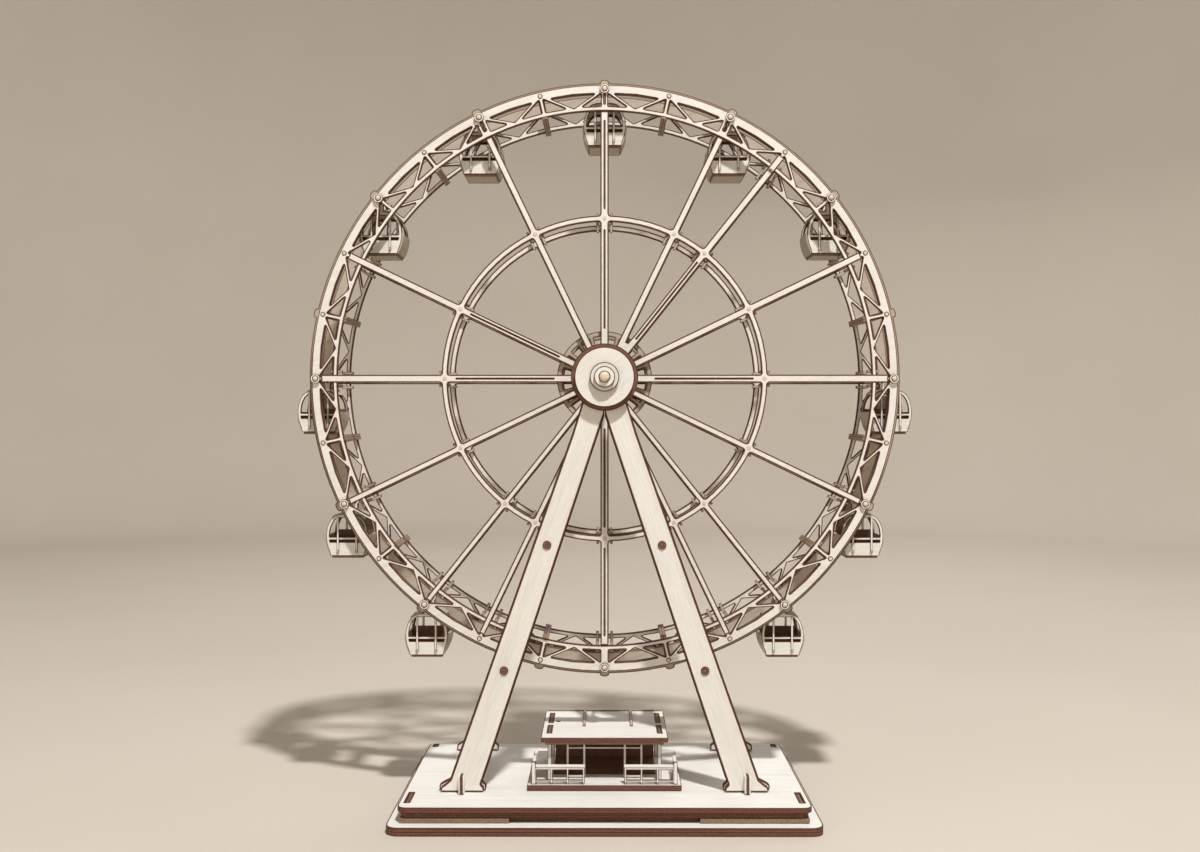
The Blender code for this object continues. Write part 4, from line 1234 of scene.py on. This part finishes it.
# %% Station front and back
HEAD = FOOT + 20.6
LINTEL = FOOT + 16.3
DOOR_HALF = 10.8
FRONT_HALF = 21.9
front_outline = [
    (-FRONT_HALF, FOOT), (-DOOR_HALF, FOOT), (-DOOR_HALF, LINTEL), (DOOR_HALF, LINTEL),
    (DOOR_HALF, FOOT), (FRONT_HALF, FOOT), (FRONT_HALF, HEAD), (-FRONT_HALF, HEAD),
]
lights = [box(hand * 16.35 - 3.95, FOOT + 1.6, hand * 16.35 + 3.95, LINTEL) for hand in (-1, 1)]
slits = ((-20.3, -12.4), (-DOOR_HALF, DOOR_HALF), (12.4, 20.3))
slits = [box(x0, FOOT + 17.5, x1, FOOT + 18.7) for x0, x1 in slits]
front = Bench()
cut_sheet(front, [front_outline] + lights + slits, 1.6, standing(-22.8), math.pi / 2, 0.35)
finish_piece(front, "station_front", "pale_birch", "stand", "station_front_frame")
wall = cut_sheet(Bench(), [box(-29.6, FOOT, 29.6, HEAD)], 2.6, standing(20.7), grain=math.pi / 2)
finish_piece(wall, "station_back", "dark_birch", "stand", "station_back_wall")
room_shade_board = cut_sheet(Bench(), [box(-29.6, -15.5, 29.6, 20.5)], 0.6, lying(FOOT - 0.25), smoke=0.5)
finish_piece(room_shade_board, "station_room_shade_board", "dark_birch", "stand")

# %% [markdown]
# A railing runs along the front of the platform on each side of the doorway and turns back along the
# sides, with a taller knob at the corner. Its posts stand on the deck and leave gaps under the low
# rail, so one function draws a run of any length with its gaps and openings. A flat pale rail lies
# on top.

# %% Station railings
RAILING_HEIGHT = 9.3
RAIL_LOW, RAIL_HIGH = 1.1, 2.3


def railing(length, spans, bar=1.2):
    """A run of railing: posts that stand on the deck, a top rail and a low rail."""
    outline = [(0.0, 0.0), (0.0, RAILING_HEIGHT), (length, RAILING_HEIGHT), (length, 0.0)]
    openings = []
    gap = (length - (spans + 1) * bar) / spans
    for index in reversed(range(spans)):
        left = bar + index * (gap + bar)
        right = left + gap
        outline += [(right, 0.0), (right, RAIL_LOW), (left, RAIL_LOW), (left, 0.0)]
        openings.append(box(left, RAIL_HIGH, right, RAILING_HEIGHT - 1.35))
    return [outline] + openings


for hand_name, hand in (("left", -1), ("right", 1)):
    rails = Bench()
    run = placed((hand, 0, 0), (0, 0, 1), (0, 1, 0), (hand * 11.2, -36.4, FOOT))
    cut_sheet(rails, railing(28.2, 3), 1.6, run, smoke=0.42)
    along = placed((0, 1, 0), (0, 0, 1), (hand, 0, 0), (hand * 39.4, -34.6, FOOT))
    cut_sheet(rails, railing(19.6, 2), 1.6, along, smoke=0.42)
    corner = eased(box(hand * 39.9 - 1.1, 0.0, hand * 39.9 + 1.1, 12.4), 0.5)
    cut_sheet(rails, [corner], 2.0, standing(-36.6, 0.0, FOOT), math.pi / 2, 0.35)
    for x0, x1, y0, y1 in ((11.0, 38.7, -36.6, -34.6), (39.2, 41.0, -34.5, -15.0)):
        left, right = sorted((hand * x0, hand * x1))
        top_rail = box(left, y0, right, y1)
        cut_sheet(rails, [top_rail], 1.3, lying(FOOT + 9.35), smoke=0.25, burnt=False)
    node_name = "station_railing_" + hand_name
    finish_piece(rails, "station_railing_run_" + hand_name, "pale_birch", "stand", node_name)

# %% [markdown]
# ## Floor, backdrop and light
# The part is shown on a plain pale floor that curves up into a backdrop, so no edge shows behind it
# from any side. It is one round bowl, drawn in metres, with a faint cloud in its colour so it reads
# as paper.

# %% Stage
STAGE_RADIUS, STAGE_HEIGHT = 2.6, 2.2


def backdrop(radius, height, steps=96):
    profile = [(radius * 0.02 * k, 0.0) for k in range(1, 35)]
    flat = profile[-1][0]
    for k in range(1, 25):
        angle = math.pi / 2 * k / 24
        profile.append((flat + (radius - flat) * math.sin(angle), height * (1 - math.cos(angle))))
    points = [(0.0, 0.0, 0.0)]
    faces = []
    for ring_radius, ring_height in profile:
        for step in range(steps):
            angle = 2 * math.pi * step / steps
            points.append((ring_radius * math.cos(angle), ring_radius * math.sin(angle), ring_height))
    for step in range(steps):
        following = (step + 1) % steps
        faces.append((0, 1 + step, 1 + following))
        for ring in range(len(profile) - 1):
            a, b = 1 + ring * steps, 1 + (ring + 1) * steps
            faces.append((a + step, b + step, b + following, a + following))
    mesh = bpy.data.meshes.new("floor")
    mesh.from_pydata(points, [], faces)
    mesh.polygons.foreach_set("use_smooth", [True] * len(faces))
    return mesh


floor_piece = bpy.data.objects.new("floor", backdrop(STAGE_RADIUS, STAGE_HEIGHT))
scene.collection.objects.link(floor_piece)
floor_finish, floor_tree, floor_shader = wood_tree("floor_finish", 0.85)
floor_place = node(floor_tree, "ShaderNodeTexCoord").outputs["Object"]
paper = stretched_noise(floor_tree, floor_place, (3.0, 3.0, 3.0), 3.0, "paper")
paper_color = ramp(floor_tree, paper, ((0.3, (0.545, 0.478, 0.402)), (0.7, (0.572, 0.502, 0.424))))
floor_tree.links.new(paper_color, floor_shader.inputs["Base Color"])
floor_piece.data.materials.append(floor_finish)
print("floor and backdrop", 2 * STAGE_RADIUS, "m across")

# %% [markdown]
# The main lamp is small and stands high above the camera and to its right, because the shadows in
# the photograph fall down and to the left and are fairly crisp. A weak wide lamp on the left and one
# at the back open the shadows up, and a faint even light from all round does the rest.

# %% Lamps
def lamp(name, place, aim, size, power, color):
    data = bpy.data.lights.new(name, "AREA")
    data.shape = "DISK"
    data.size = size
    data.energy = power
    data.color = color
    piece = bpy.data.objects.new(name, data)
    scene.collection.objects.link(piece)
    piece.location = place
    piece.rotation_euler = (Vector(aim) - Vector(place)).to_track_quat("-Z", "Y").to_euler()
    return piece


lamp("main_lamp", (0.42, -1.18, 2.28), (0.0, 0.0, 0.2), 0.16, 70.0, (0.975, 0.99, 1.0))
lamp("left_lamp", (-1.5, -1.2, 0.9), (0.0, 0.0, 0.25), 1.2, 3.5, (1.0, 1.0, 1.0))
lamp("back_lamp", (0.5, 1.6, 1.6), (0.0, 0.0, 0.2), 1.2, 11.0, (1.0, 1.0, 1.0))
world = bpy.data.worlds.new("studio")
world.use_nodes = True
world.node_tree.nodes["Background"].inputs["Color"].default_value = (1.0, 0.985, 0.97, 1.0)
world.node_tree.nodes["Background"].inputs["Strength"].default_value = 0.20
scene.world = world
scene.view_settings.view_transform = "Standard"
